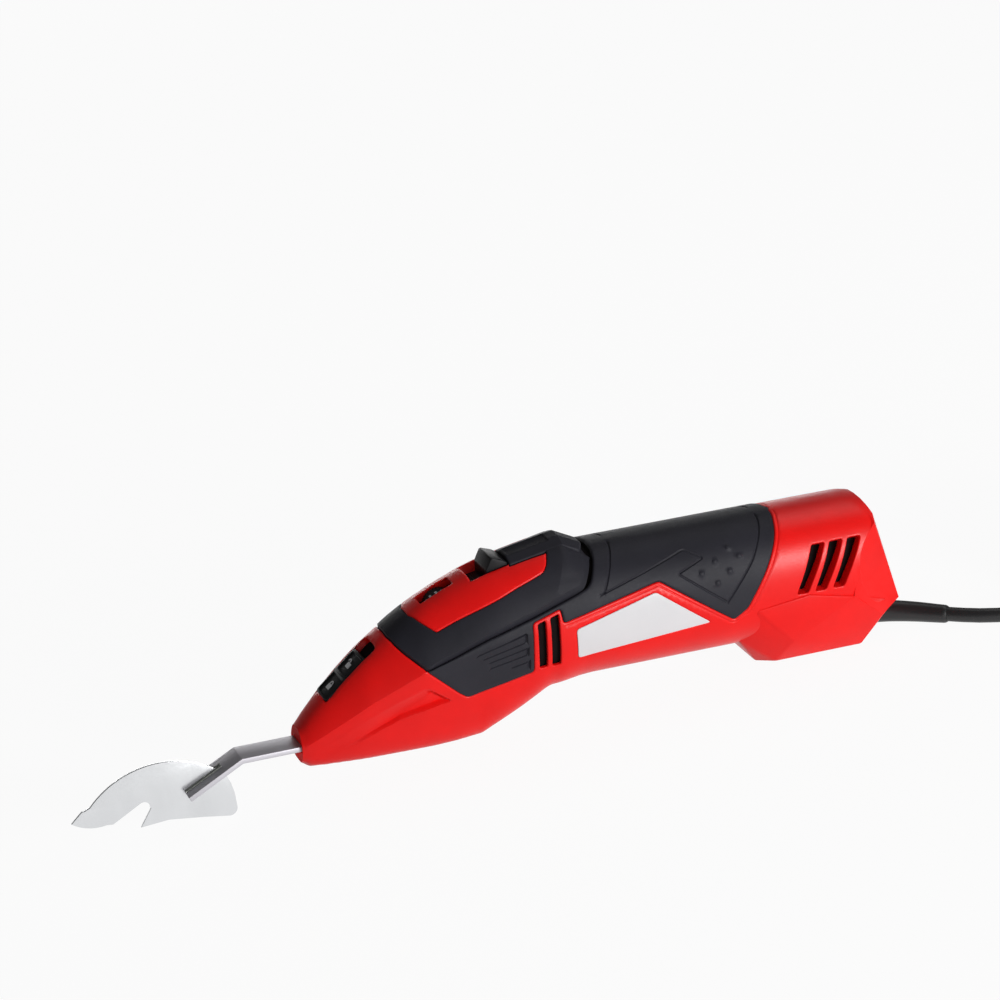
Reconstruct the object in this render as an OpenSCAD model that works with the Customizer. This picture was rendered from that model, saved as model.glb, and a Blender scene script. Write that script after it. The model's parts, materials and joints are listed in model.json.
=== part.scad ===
// Power scraper: a mains tool that drives a hooked joint blade to and fro.
// Pieces are drawn in the tool's own axes, with X from the nose to the rear along the
// plunger and Z up, and are then tilted and lifted so that the tool stands on the floor.

/* [Body] */
// width across the grip
body_width = 53; // [52.4:0.2:56]
// height of the grip's oval
grip_height = 60; // [59.6:0.2:63]
// thickness of the moulded shell
wall = 2.2; // [1.8:0.1:2.6]
// thickness of the soft moulding on the shell
soft_skin = 1.2; // [0.8:0.1:1.6]
// how far the soft moulding stands proud of the shell
soft_proud = 0.3; // [0.1:0.1:0.6]
// height of the label above the shell
label_thickness = 0.3; // [0.2:0.1:0.6]

/* [Blade] */
// thickness of the hooked blade
blade_thickness = 1.2; // [0.8:0.1:1.6]
// width of the flat shank
shank_width = 14; // [11:0.5:14.5]
// thickness of the flat shank
shank_thickness = 2.5; // [2:0.1:3]
// length of shank between the nose and its bend
shank_reach = 27; // [24:1:36]
// slope of the shank below its bend
shank_slope = 27.8; // [24:0.2:32]

/* [Drive] */
// full stroke of the blade
stroke = 1.5; // [1:0.1:2]
// diameter of the plunger's front rod
plunger_dia = 8; // [7:0.5:9]
// diameter of the plunger's rear rod
tail_dia = 5; // [4:0.2:5.4]
// thickness of the crown gear's disc
gear_disc = 4; // [3:0.5:4.5]
// radial running clearance of shafts in bores
slip = 0.05; // [0.02:0.01:0.09]

/* [Motor] */
// room between the stator and the inside of the shell
motor_room = 1.6; // [1.4:0.1:3.6]
// diameter of the armature core as a share of the stator's
core_share = 0.58; // [0.52:0.01:0.6]
// diameter of the armature shaft
shaft_dia = 6; // [5:0.5:7]
// room between the fan's tips and the inside of the shell
fan_room = 3.1; // [2.1:0.1:6]

/* [Controls] */
// width of the blade lock slider
lock_width = 14.5; // [13:0.5:17]
// travel of the blade lock slider
lock_travel = 6.5; // [5:0.5:7]
// width of the switch knob
knob_width = 16; // [12:0.5:16.5]
// travel of the switch knob
knob_travel = 6; // [4:0.5:7]
// diameter of the speed dial
dial_dia = 16; // [14:0.5:16.5]
// width of the speed dial
dial_width = 6.6; // [5:0.2:7]

/* [Cord] */
// diameter of the cord
cord_dia = 6.8; // [6:0.2:7.2]
// diameter of the cord sleeve where it leaves the tool
sleeve_dia = 11.4; // [10:0.2:12]

/* [Hidden] */
$fa = 4;
$fs = 0.4;
red = "#d8241c";
black = "#26272b";
steel = "#b9bcc0";

// Straight tables of the body's lines along X, which the profile functions round off.
// The grip's width is its own, the head's follows the crown gear and the nose's follows the blade holder.
half_width = body_width / 2;
gear_rim = 17.5;
head_room = 5.6;
head_half = gear_rim + head_room + wall + soft_skin;
holder_half = shank_width / 2 + 1.2;
nose_room = 1.6;
nose_half = holder_half + nose_room + wall;
grip_mid = 39.5;
grip_top = grip_mid + grip_height / 2;
grip_low = grip_mid - grip_height / 2;
body_end = 286;
belly_end = 82;
top_line = [[0, 7.5], [3, 11.9], [12.5, 21.9], [22, 30.5], [32, 38.4], [38, 42.6], [48.5, 49.6],
            [60, 55.9], [72, 61.1], [84, 65.1], [92, grip_top - 2.4], [112, grip_top - 0.2],
            [268, grip_top], [272, grip_top - 0.5], [276, grip_top - 2.4], [body_end, grip_top - 11]];
side_line = [[0, nose_half - 3.4], [1, nose_half - 2.6], [3, nose_half - 1.7], [8, nose_half],
             [28, nose_half + 6.6], [55, head_half - 1.5], [70, head_half - 0.5], [90, head_half + 0.2],
             [130, half_width + 0.2], [140, half_width], [body_end, half_width]];
crease_line = [[0, 1], [8, 5.8], [30, 20], [55, 33], [70, 37], [90, 40.5], [110, 41], [140, grip_mid],
               [body_end, grip_mid]];
low_line = [[0, -7.5], [3, -9.6], [30, -10.2], [60, -9.7], [belly_end, -8.4], [100, 0.2],
            [115, grip_low - 1.5], [136, grip_low], [266, grip_low], [274, grip_low + 2], [280, grip_low + 7],
            [body_end, grip_low + 15]];
roof_power = [[0, 3], [30, 3], [60, 2.5], [140, 2.4]];
roof_root = [[0, 1], [70, 1], [136, 2.4]];
side_power = [[0, 4], [8, 6], [70, 7], [88, 5], [112, 3], [130, 2.4]];
side_taper = [[0, 0.15], [10, 0.22], [30, 0.33], [55, 0.38], [80, 0.36], [100, 0.2], [120, 0]];
stations = [0, 1, 3, 8, 14, 20, 26, 32, 38, 44, 50, 56, 62, 68, 75, belly_end, 88, 94, 100, 108, 116, 124,
            132, 140, 160, 180, 200, 220, 240, 258, 266, 269, 272, 275, 280, body_end];
ring_steps = 32;
blend_reach = 2.5;

// Outlines seen from the side, each an edge between two mouldings.
seam_line = [[55, 32.6], [60, 34.6], [70, 38], [83.8, 42.7], [105, 48.6], [116.6, 52.2], [126, 55],
             [131.6, 56.9], [134.1, 59], [135.9, 62.1], [140.3, 69.5]];
above = 95;
cover_end = seam_line[len(seam_line) - 1][0];
cover_outline = concat([[42.4, above], [42.4, 45.6], [43.9, 43.3], [46.5, 40.3], [50.2, 37]], seam_line,
                       [[cover_end, above]]);
vent_frame = [[104.6, 22.6], [104.5, 46.4], [118, 50.6], [118.9, 43.8]];
grip_outline = concat([for (i = [len(seam_line) - 1:-1:0]) seam_line[i]],
                      [[56.4, 31.2], [70, 18.3], [73.8, 15.4]], vent_frame,
                      [[165.6, 54.3], [201, 29], [207.7, 33.6], [217.6, 49.9], [223.2, 59.9],
                       [227.6, 67.8], [230.6, 72], [230.6, above], [cover_end, above]]);
panel_outline = [[53.9, above], [53.9, 53.4], [55.3, 52.2], [58.2, 50.4], [62.3, 48], [73, 52.2], [100, 61.3],
                 [112.8, 64.9], [114.9, 66.2], [118, 70], [118, above]];
label_outline = [[124.7, 39.8], [125.3, 25.6], [189.3, 30.5], [163.5, 49.8]];

// The block below the rear of the grip: corners on one side, mirrored to the other.
foot_x = 268;
foot_half = half_width - 10.5;
rear_tip = [288.5, half_width - 13.5, 18.5];
block_corners = [[217, foot_half - 5, 0], [225, foot_half, 0], [foot_x, foot_half, 0],
                 [231, half_width - 2.5, 12], [277, half_width - 4.7, 15.5], [217.5, half_width - 1.3, 24],
                 [206, half_width - 9.5, 14.5], [214, half_width - 0.7, 33], [262, half_width - 0.9, 33.5],
                 rear_tip, [274, half_width - 8.5, 60]];
block_mid = [250, 0, 30];

// Planes that cut the rear end: a leaning one across it, and one on each corner.
rear_edge = [274, 61];
rear_lean = 0.337;
corner_way = [0.4165, 0.908, 0.042];
corner_reach = half_width * corner_way[1] + 111.5;
function rear_plane(z) = rear_edge[0] + rear_lean * (rear_edge[1] - z);

// Slots in the shell: two upright ones by the fan, three slanted ones by the brushes.
front_vents = [[107.2, 23.8, 45.8], [113.4, 23.6, 47.6]];
front_vent_width = 3.8;
rear_vents = [232, 241, 250];
rear_vent_low = 35.2;
rear_vent_top = 57.4;
rear_vent_lean = 9.6;
rear_vent_width = 6;

// Blade and shank.
bend_x = -shank_reach;
blade_shift = 27 - shank_reach;
arc_mid = [-63, -38.4];
arc_r = 42.6;
heel_mid = [-33.1, -24.2];
heel_r = 3.5;
tip = [-104, -16.4];
shank_tail = 24;
shank_run = 28.3;

// Rest: the floor touches the blade's heel and the block's rear edge.
heel_at = [heel_mid[0] + blade_shift, heel_mid[1]];
rest_span = [foot_x - heel_at[0], -heel_at[1]];
rest_tilt = atan2(rest_span[1], rest_span[0]) + asin(heel_r / norm(rest_span));
rest_lift = foot_x * sin(rest_tilt);
tip_x = (tip[0] + blade_shift) * cos(rest_tilt) + tip[1] * sin(rest_tilt);
rear_x = rear_tip[0] * cos(rest_tilt) + rear_tip[2] * sin(rest_tilt);
rest_mid = (tip_x + rear_x) / 2;

// Drive train.
motor_z = 38;
crank_x = 53;
throw = stroke / 2;
gear_teeth = 30;
pinion_teeth = 9;
gear_mean = 15;
gear_bore = 5;
gear_low = 27.5;
tooth_top = 34.2;
tooth_width = 1;
mesh_x = crank_x + gear_mean;
pinion_length = 4;
bearing_r = 11;
bearing_width = 7;
low_bearing_z = 7.5;
high_bearing_z = 19.8;
deck_low = 6.5;
deck_top = 27;
deck_half = 14.5;
deck_front = 38;
bulkhead_x = 78;
bulkhead_end = 93;
tail_guide = [67, 79];
bulkhead_half = 14.4;
bulkhead_top = 48.5;
front_bearing_x = 84;
front_bearing_r = 9.5;
front_bearing_width = 7;
eccentric_r = 6.5;
eccentric_half = 4;
pin_r = 3.5;
yoke_half = 4.6;
yoke_wall = 3;
open_pivot = 0.3;
window_x = eccentric_r + stroke + open_pivot;
window_y = eccentric_r + throw + open_pivot;
yoke_x = window_x + yoke_wall;
yoke_y = window_y + yoke_wall;
holder_front = 12;
holder_end = 27;
holder_z = 4.4;
bush_front = 28.5;
bush_end = deck_front - 0.5;
bush_wall = 1.2;
guide_half = 9.4;
guide_low = -plunger_dia / 2 - bush_wall - 1;
tail_low = -tail_dia / 2 - bush_wall - 0.5;
tail_end = tail_guide[1] - 2;

// Motor.
shaft_r = shaft_dia / 2;
inner_half = half_width - wall - soft_skin;
stator_r = inner_half - motor_room;
core_r = core_share * stator_r;
commutator_r = 0.42 * stator_r;
fan_r = inner_half - fan_room;
air_gap = 0.8;
core_x = [154, 206];
stator_x = [152, 208];
coil_reach = 9;
fan_x = [107, 121];
commutator_x = [234, 250];
brush_x = 242;
brush_size = 6;
holder_wall = 1.2;
holder_reach = [commutator_r + 1.5, inner_half - 2.6];
rear_bearing_x = 262;
rear_bearing_r = 8;
rear_bearing_width = 6;
nose_shaft_r = 2;
shaft_front = mesh_x - 3.5;
shaft_end = 271;

// Controls.
lock_foot = [12.4, 20.6];
lock_slope = 40.4;
lock_length = 25.5;
lock_thick = 3.4;
lock_sink = 2.8;
lock_gap = 0.2;
channel_floor = 1.5;
finger_gap = throw + 0.45;
post_x = 17.5;
post_half = 1;
finger_width = 1.6;
wedge_half = 4;
wedge_top = 9;
post_top = 16.2;
finger_low = 10.8;
knob_front = 90.5;
knob_ridge = [knob_front + 3.2, 72.9];
knob_end = knob_front + 12.5;
knob_slope = 12;
plate_start = [knob_front - 8, 60.9];
plate_thick = 1.2;
plate_half = knob_width / 2 + 0.7;
rail_half = 9.6;
rail_flat = 3.5;
rail_fall = 2.3;
rail_front = knob_end + 0.6;
rail_line = [[100, 71.8], [126.3, 76.6], [137.4, 71]];
dial_at = [70.6, top_at(70.6) - dial_dia / 2 - 0.5];
dial_pin_r = 1.5;
roof_window = [57.5, knob_end + 8, plate_half + 0.6];
fit_gap = 0.3;

// Screws that close the shell, each at X and Z.
screw_spots = [[97, 14], [131, 49.5], [140, 15], [222, 11], [228, 56], [276, 40]];
screw_r = 1.6;
boss_r = 3.6;
boss_end = 12;
boss_sides = 16;
rib_spots = [31, 90, 158, 200, 250.2, 263];
rib_thick = 2.4;
rib_gap = 0.15;
capacitor_x = 236;
capacitor_size = [22, 13, 7];
floor_gap = 0.15;

// Cord: route in the standing frame, from inside the rear wall to the coil.
sleeve_route = [[178, 0, 7.6], [184, 0, 7.3], [190, -1.2, 6.9], [196, -3.8, 6.4], [202, -7.6, 5.9],
                [207.6, -12, 5.5], [213, -16.8, 5.1], [218, -21.4, 4.8]];
sleeve_tip_dia = cord_dia + 1.6;
cord_r = cord_dia / 2;
cord_rest = 3.7;
tie_thick = 0.8;
tie_width = 9;
tie_angle = 160;
coil_mid = [316, -5.8];
coil_start = 262;
coil_inner = 27;
coil_pitch = 7.5;
coil_turns = 2.5;
coil_layers = 4;
coil_rest = cord_r + tie_thick + 0.1;
layer_rise = 7.3;
tail_turn = 0.21;
tail_reach = 17;
tail_level = 7.2;
cord_sides = 8;
coil_sides = 6;
coil_rings = 24;
plug_half = 11;
plug_thick = 6.8;
pin_spacing = 19;

// Linear look-up in a table, rounded off over a short reach.
function soft(x, table) =
    (lookup(x - blend_reach, table) + 2 * lookup(x, table) + lookup(x + blend_reach, table)) / 4;
function top_at(x) = soft(x, top_line);
function side_at(x) = soft(x, side_line);
function crease_at(x) = soft(x, crease_line);
function low_at(x) = lookup(x, low_line);

// Height of the roof at a distance from the middle, as a share of its half width.
function roof_share(x, s) = pow(1 - pow(min(s, 1), lookup(x, roof_power)), 1 / lookup(x, roof_root));
function roof_at(x, y) = crease_at(x) + (top_at(x) - crease_at(x)) * roof_share(x, abs(y) / side_at(x));

// One section of the body at x, drawn in by inset.
function section_point(x, inset, turn) =
    let (side = turn < 2 ? 1 : -1, t = turn < 2 ? turn : 4 - turn)
    let (w = side_at(x) - inset, c = crease_at(x), q = 2 / lookup(x, side_power))
    t <= 1
    ? [x, side * w * sin(90 * t), c + (top_at(x) - inset - c) * roof_share(x, sin(90 * t))]
    : let (drop = pow(max(sin(90 * (t - 1)), 0), q), reach = pow(max(cos(90 * (t - 1)), 0), q))
      [x, side * w * reach * (1 - drop * lookup(x, side_taper)), c - (c - low_at(x) - inset) * drop];
function section_ring(x, inset) = [for (i = [0:ring_steps - 1]) section_point(x, inset, 4 * i / ring_steps)];

// Faces between rings of equal length, closed at both ends.
function ring_faces(rings, count) = concat(
    [for (i = [0:rings - 2], j = [0:count - 1], half = [0, 1])
        let (a = i * count + j, b = i * count + (j + 1) % count)
        half == 0 ? [a, b, b + count] : [a, b + count, a + count]],
    [for (j = [1:count - 2]) [0, j + 1, j]],
    [for (j = [1:count - 2]) let (last = (rings - 1) * count) [last, last + j, last + j + 1]]);

// The body from x0 to x1, drawn in by inset.
module body_loft(inset = 0, x0 = 0, x1 = body_end) {
    xs = concat([x0], [for (x = stations) if (x > x0 + 0.3 && x < x1 - 0.3) x], [x1]);
    points = [for (x = xs) each section_ring(x, inset)];
    polyhedron(points, ring_faces(len(xs), ring_steps));
}

// The saddle's outer form: the body raised towards its rear.
cover_lift = [[40, 0.3], [56, 0.6], [90, 1.4], [122, 2.6], [141.5, 1]];
module cover_loft() {
    xs = concat([for (x = stations) if (x > 40 && x < 139) x], [141.5]);
    points = [for (x = xs) each section_ring(x, -lookup(x, cover_lift))];
    polyhedron(points, ring_faces(len(xs), ring_steps));
}

// What lies within the rear planes, each drawn in by inset.
module rear_cut(inset = 0) {
    reach = corner_reach - inset;
    wide = 60;
    points = [for (z = [-40, 110], side = [-1, 1], spot = [0, 1, 2])
        let (x = rear_plane(z) - inset, rest = reach - corner_way[2] * z)
        spot == 0 ? [-20, side * wide, z]
        : spot == 1 ? [(rest - corner_way[1] * wide) / corner_way[0], side * wide, z]
        : [x, side * (rest - corner_way[0] * x) / corner_way[1], z]];
    hull() for (p = points) translate(p) sphere(0.02, $fn = 4);
}

module body_core(inset = 0, x0 = 0, x1 = body_end) {
    intersection() {
        body_loft(inset, x0, x1);
        rear_cut(inset);
    }
}

// A prism across the whole width from an outline seen from the side.
module across(outline, reach = 60) {
    rotate([90, 0, 0]) linear_extrude(2 * reach, center = true) polygon(outline);
}

module bar_between(x0, x1, r, z = 0, sides = 0) {
    translate([x0, 0, z]) rotate([0, 90, 0]) cylinder(h = x1 - x0, r = r, $fn = sides);
}

module ring_between(x0, x1, r, bore, z = 0) {
    difference() {
        bar_between(x0, x1, r, z);
        bar_between(x0 - 1, x1 + 1, bore, z);
    }
}

// One mesh from shapes that bend in every direction.
module moulded() {
    resize([0, 0, 0]) children();
}

// Stands the tool on the floor.
module standing() {
    translate([-rest_mid, 0, rest_lift]) rotate([0, rest_tilt, 0]) children();
}

module rear_block(inset = 0) {
    points = [for (p = block_corners, side = [-1, 1])
        let (d = block_mid - p)
        [p[0] + sign(d[0]) * inset, side * (p[1] - inset), p[2] + sign(d[2]) * inset]];
    hull() for (p = points) translate(p) sphere(0.02, $fn = 4);
}

// The slot that the lock slider runs in, and the plate's own place in it.
module on_nose(s = 0) {
    translate([lock_foot[0], 0, lock_foot[1]]) rotate([0, -lock_slope, 0]) translate([s, 0, 0]) children();
}

module lock_channel() {
    on_nose(-0.3) translate([0, -lock_width / 2 - fit_gap, -lock_sink - lock_gap])
        cube([lock_length + lock_travel + 0.6, lock_width + 2 * fit_gap, 20]);
}

module finger_slot() {
    reach = post_half + finger_gap + finger_width + 0.5;
    travel = lock_travel * cos(lock_slope);
    translate([post_x - reach, -4, 7]) cube([2 * reach + travel, 8, 40]);
}

module vents() {
    difference() {
        union() {
            for (v = front_vents)
                translate([v[0], -60, v[1]]) cube([front_vent_width, 120, v[2] - v[1]]);
            for (x = rear_vents)
                across([[x, rear_vent_low], [x + rear_vent_width, rear_vent_low],
                        [x + rear_vent_width + rear_vent_lean, rear_vent_top],
                        [x + rear_vent_lean, rear_vent_top]]);
        }
        body_loft(wall + soft_skin + 0.2);
    }
}

// Space inside the shell, ahead of and behind the bulkhead.
module hollow() {
    thick = wall + soft_skin;
    body_loft(wall, 5, 42);
    body_core(thick, 41, body_end - thick);
    intersection() {
        body_loft(wall, 41, belly_end);
        translate([0, -50, -50]) cube([belly_end, 100, 62]);
    }
    difference() {
        rear_block(wall);
        translate([150, -50, -50]) cube([60, 100, 100]);
    }
}

// Room for the capacitor on the floor of the block.
module wiring_space() {
    translate([capacitor_x - 0.5, -capacitor_size[1] / 2 - 0.5, -10])
        cube([capacitor_size[0] + 1, capacitor_size[1] + 1, 10.5 + wall + floor_gap + capacitor_size[2]]);
}

module motor_space() {
    bar_between(stator_x[0] - coil_reach - 1, stator_x[1] + coil_reach + 1, stator_r + rib_gap, motor_z, 40);
    bar_between(brush_x, rear_bearing_x, shaft_r + 2, motor_z, 24);
    bar_between(rear_bearing_x, rear_bearing_x + rear_bearing_width + 5, rear_bearing_r + rib_gap,
                motor_z, 32);
}

module frame_space() {
    translate([bush_front, -guide_half, -8]) cube([20, 2 * guide_half, 40]);
    translate([deck_front, -deck_half, -8]) cube([50, 2 * deck_half, 70]);
    translate([bulkhead_x, -bulkhead_half, deck_low - 0.02])
        cube([20, 2 * bulkhead_half, bulkhead_top - deck_low + 0.04]);
}

// Cross walls that carry the frame, the stator and the rear bearing.
module ribs() {
    intersection() {
        body_core(wall / 2);
        difference() {
            union() {
                for (x = rib_spots) translate([x, -50, -50]) cube([rib_thick, 100, 150]);
                translate([5, -50, -50]) cube([2, 100, 58]);
            }
            motor_space();
            wiring_space();
            frame_space();
            translate([40, -4.5, 44]) cube([80, 9, 60]);
            translate([84, -13, 49]) cube([24, 26, 40]);
            bar_between(80, 140, shaft_r + 1, motor_z);
            translate([4, -holder_half - 0.8, -holder_z - 0.8])
                cube([24, 2 * holder_half + 1.6, 2 * holder_z + 1.6]);
            translate([255, -9, -10]) cube([40, 18, 37]);
        }
    }
}

module bosses() {
    intersection() {
        union() {
            body_core(wall / 2);
            rear_block(wall / 2);
        }
        for (s = screw_spots)
            translate([s[0], 0, s[1]]) rotate([90, 0, 0])
                cylinder(h = 60, r = boss_r, center = true, $fn = boss_sides);
    }
}

module screw_holes() {
    thread = (screw_r + slip) / cos(180 / boss_sides);
    for (s = screw_spots) {
        translate([s[0], -boss_end, s[1]]) rotate([-90, 0, 0]) cylinder(h = 60, r = thread, $fn = boss_sides);
        translate([s[0], boss_end, s[1]]) rotate([-90, 0, 0])
            cylinder(h = 60, r = 2 * thread, $fn = boss_sides);
    }
}

// Both halves of the red shell together.
module shell() {
    difference() {
        union() {
            difference() {
                body_core();
                difference() {
                    union() {
                        across(grip_outline);
                        across(cover_outline);
                    }
                    body_loft(soft_skin);
                }
                difference() {
                    across(label_outline);
                    body_loft(0.2);
                }
            }
            difference() {
                rear_block();
                across(grip_outline);
            }
        }
        difference() {
            hollow();
            ribs();
            bosses();
            on_nose(-3) translate([0, -lock_width / 2 - 2, -lock_sink - lock_gap - channel_floor])
                cube([lock_length + lock_travel + 6, lock_width + 4, 20]);
        }
        lock_channel();
        finger_slot();
        vents();
        screw_holes();
        translate([roof_window[0], -roof_window[2], 45])
            cube([roof_window[1] - roof_window[0], 2 * roof_window[2], 60]);
        translate([-1, -shank_width / 2 - fit_gap, -shank_thickness / 2 - fit_gap])
            cube([12, shank_width + 2 * fit_gap, shank_thickness + 2 * fit_gap]);
        cord_hole();
    }
}

module housing_half(side) {
    color(red) standing() moulded() intersection() {
        shell();
        translate([-10, side > 0 ? 0.02 : -80.02, -50]) cube([400, 80, 200]);
    }
}
module left_housing() housing_half(-1);
module right_housing() housing_half(1);

module grip_half(side) {
    color(black) standing() moulded() intersection() {
        difference() {
            body_loft(-soft_proud, 44, 240);
            body_loft(soft_skin - 0.02, 42, 242);
            screw_holes();
        }
        across(grip_outline);
        translate([-10, side > 0 ? 0.02 : -80.02, -50]) cube([400, 80, 200]);
    }
}
module left_grip() grip_half(-1);
module right_grip() grip_half(1);

// The raised rail behind the knob, with a flat top and sloping sides.
module rail() {
    outline = concat(rail_line, [[137.4, 60], [100, 60]]);
    intersection() {
        hull() {
            across(outline, rail_flat);
            translate([0, 0, -rail_fall]) across(outline, rail_half);
        }
        across(cover_outline);
        translate([rail_front, -50, 0]) cube([60, 100, 120]);
    }
}

module front_cover() {
    color(black) standing() moulded() difference() {
        union() {
            intersection() {
                cover_loft();
                across(cover_outline);
                difference() {
                    translate([30, -60, 20]) cube([120, 120, 70]);
                    across(panel_outline);
                }
            }
            rail();
        }
        body_loft(soft_skin - 0.02, 36, 160);
        translate([knob_front - 12, -knob_width / 2 - 1.2, 50]) cube([26, knob_width + 2.4, 60]);
    }
}

module knob_slot() {
    translate([knob_front - knob_travel - 1.5, -knob_width / 2 - fit_gap, 45])
        cube([knob_end - knob_front + knob_travel + 2, knob_width + 2 * fit_gap, 60]);
}

module dial_window() {
    translate([60.5, -dial_width / 2 - 0.5, 45]) cube([15.6, dial_width + 1, 60]);
}

module switch_panel() {
    color(red) standing() moulded() difference() {
        intersection() {
            cover_loft();
            across([for (p = panel_outline) p + [0, 0.1]]);
        }
        body_loft(soft_skin - 0.02, 36, 160);
        rail();
        translate([rail_front, -rail_half, 60]) cube([40, 2 * rail_half, 40]);
        knob_slot();
        dial_window();
    }
}

module label(side) {
    color("#f2f2f0") standing() moulded() intersection() {
        difference() {
            body_loft(-label_thickness, 110, 205);
            body_loft(0.19, 108, 207);
        }
        across(label_outline);
        translate([100, side > 0 ? 5 : -85, 0]) cube([120, 80, 100]);
    }
}
module left_label() label(-1);
module right_label() label(1);

module housing_screws() {
    head = 1.8;
    color(steel) standing()
        for (s = screw_spots)
            translate([s[0], 0, s[1]]) rotate([-90, 0, 0]) difference() {
                union() {
                    translate([0, 0, -boss_end]) cylinder(h = 2 * boss_end, r = screw_r);
                    translate([0, 0, boss_end]) cylinder(h = head, r = 2 * screw_r - 0.2);
                }
                translate([-0.4, -1.8, boss_end + head - 0.8]) cube([0.8, 3.6, 2]);
                translate([-1.8, -0.4, boss_end + head - 0.8]) cube([3.6, 0.8, 2]);
            }
}

// Cast frame: front guide, crank deck and the bulkhead that carries the motor's front bearing.
module gear_frame() {
    guide_foot = 1 - guide_low;
    tail_half = 2 - tail_low;
    color("#a9adb0") standing() difference() {
        union() {
            translate([bush_front, -guide_foot, guide_low])
                cube([bush_end - bush_front, 2 * guide_foot, deck_low - guide_low + 8]);
            translate([bush_front, -guide_half, deck_low]) cube([20, 2 * guide_half, 8]);
            translate([deck_front, -deck_half, deck_low])
                cube([bulkhead_x - deck_front + 1, 2 * deck_half, deck_top - deck_low]);
            translate([tail_guide[0], -tail_half, tail_low])
                cube([tail_guide[1] - tail_guide[0], 2 * tail_half, deck_low - tail_low + 1]);
            translate([bulkhead_x, -bulkhead_half, deck_low])
                cube([bulkhead_end - bulkhead_x, 2 * bulkhead_half, bulkhead_top - deck_low]);
        }
        bar_between(bush_front - 1, bush_end + 1, plunger_dia / 2 + bush_wall);
        bar_between(tail_guide[0] - 1, tail_guide[1] + 1, tail_dia / 2 + bush_wall);
        translate([crank_x, 0, 0]) cylinder(h = deck_top + 1, r = gear_bore + 1.5);
        translate([crank_x, 0, 0]) cylinder(h = low_bearing_z + bearing_width, r = bearing_r);
        translate([crank_x, 0, high_bearing_z]) cylinder(h = deck_top, r = bearing_r);
        bar_between(bulkhead_x - 1, bulkhead_end + 1, shaft_r + 1.5, motor_z);
        bar_between(front_bearing_x, bulkhead_end + 1, front_bearing_r, motor_z);
        translate([crank_x, 0, gear_low - 0.6]) cylinder(h = 10, r = gear_rim + 0.8);
    }
}

module front_bush() {
    color("#b08d4a") standing()
        ring_between(bush_front, bush_end, plunger_dia / 2 + bush_wall, plunger_dia / 2 + slip);
}

module rear_bush() {
    color("#b08d4a") standing()
        ring_between(tail_guide[0], tail_guide[1], tail_dia / 2 + bush_wall, tail_dia / 2 + slip);
}

module crank_bearings() {
    color(steel) standing()
        for (z = [low_bearing_z, high_bearing_z])
            translate([crank_x, 0, z]) difference() {
                cylinder(h = bearing_width, r = bearing_r);
                translate([0, 0, -1]) cylinder(h = bearing_width + 2, r = gear_bore + slip);
            }
}

module front_bearing() {
    color(steel) standing()
        ring_between(front_bearing_x, front_bearing_x + front_bearing_width, front_bearing_r,
                     shaft_r + slip, motor_z);
}

module rear_bearing() {
    color(steel) standing()
        ring_between(rear_bearing_x, rear_bearing_x + rear_bearing_width, rear_bearing_r,
                     shaft_r + slip, motor_z);
}

module stator() {
    color("#7d8084") standing()
        ring_between(stator_x[0], stator_x[1], stator_r, core_r + air_gap, motor_z);
}

module field_coils() {
    color("#9c5a2a") standing()
        for (x = [stator_x[0] - coil_reach, stator_x[1]], side = [-1, 1])
            intersection() {
                ring_between(x, x + coil_reach, stator_r - 1.5, core_r + air_gap + 1.5, motor_z);
                translate([x, side > 0 ? 4 : -44, 0]) cube([coil_reach, 40, 100]);
            }
}

module brush_holders() {
    size = brush_size + 2 * holder_wall;
    reach = holder_reach[1] - holder_reach[0];
    color("#c9a23c") standing()
        for (side = [-1, 1])
            translate([brush_x, side * (holder_reach[0] + holder_reach[1]) / 2, motor_z]) difference() {
                union() {
                    cube([size, reach, size], center = true);
                    translate([0, side * (reach / 2 - 1), 0])
                        cube([2 * (rib_spots[4] - brush_x), 1.2, size + 14], center = true);
                }
                cube([brush_size, 40, brush_size], center = true);
            }
}

module brushes() {
    color("#3a3a3c") standing()
        for (side = [-1, 1]) {
            reach = [commutator_r + 0.1, holder_reach[1] - 3];
            translate([brush_x - brush_size / 2, side > 0 ? reach[0] : -reach[1], motor_z - brush_size / 2])
                cube([brush_size, reach[1] - reach[0], brush_size]);
        }
}

module switch_unit() {
    color("#3c3d42") standing() difference() {
        translate([86, -8, bulkhead_top]) cube([18, 16, 10]);
        translate([knob_front - knob_travel - 1, -2.4, bulkhead_top + 4]) cube([16, 4.8, 10]);
    }
}

// Cheeks below the panel that hold the dial's pin.
module dial_bracket() {
    inner = dial_width / 2 + 0.4;
    cheek = 1.8;
    x0 = dial_at[0] - 5;
    x1 = dial_at[0] + 5;
    under = 0.15 + soft_skin;
    top = [for (x = [x1, x0]) [x, roof_at(x, inner + cheek) - under]];
    color("#3c3d42") standing() difference() {
        for (side = [-1, 1])
            translate([0, side * (inner + cheek / 2), 0]) rotate([90, 0, 0])
                linear_extrude(cheek, center = true)
                    polygon(concat([[x0, dial_at[1] - 4], [x1, dial_at[1] - 4]], top));
        translate([dial_at[0], 0, dial_at[1]]) rotate([90, 0, 0])
            cylinder(h = 40, r = dial_pin_r + slip, center = true);
    }
}

module potentiometer() {
    inner = dial_width / 2 + 0.4 + 1.8;
    case = 3;
    color("#2f5f8f") standing()
        translate([dial_at[0], inner, dial_at[1]]) rotate([-90, 0, 0]) difference() {
            union() {
                cylinder(h = case, r = 4);
                translate([-4, 0.5, case - 0.2]) cube([8, 8.5, 1.4]);
            }
            translate([0, 0, -1]) cylinder(h = case, r = dial_pin_r + fit_gap);
        }
}

module capacitor() {
    color("#d9c25a") standing()
        translate([capacitor_x, -capacitor_size[1] / 2, wall + floor_gap]) cube(capacitor_size);
}

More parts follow.
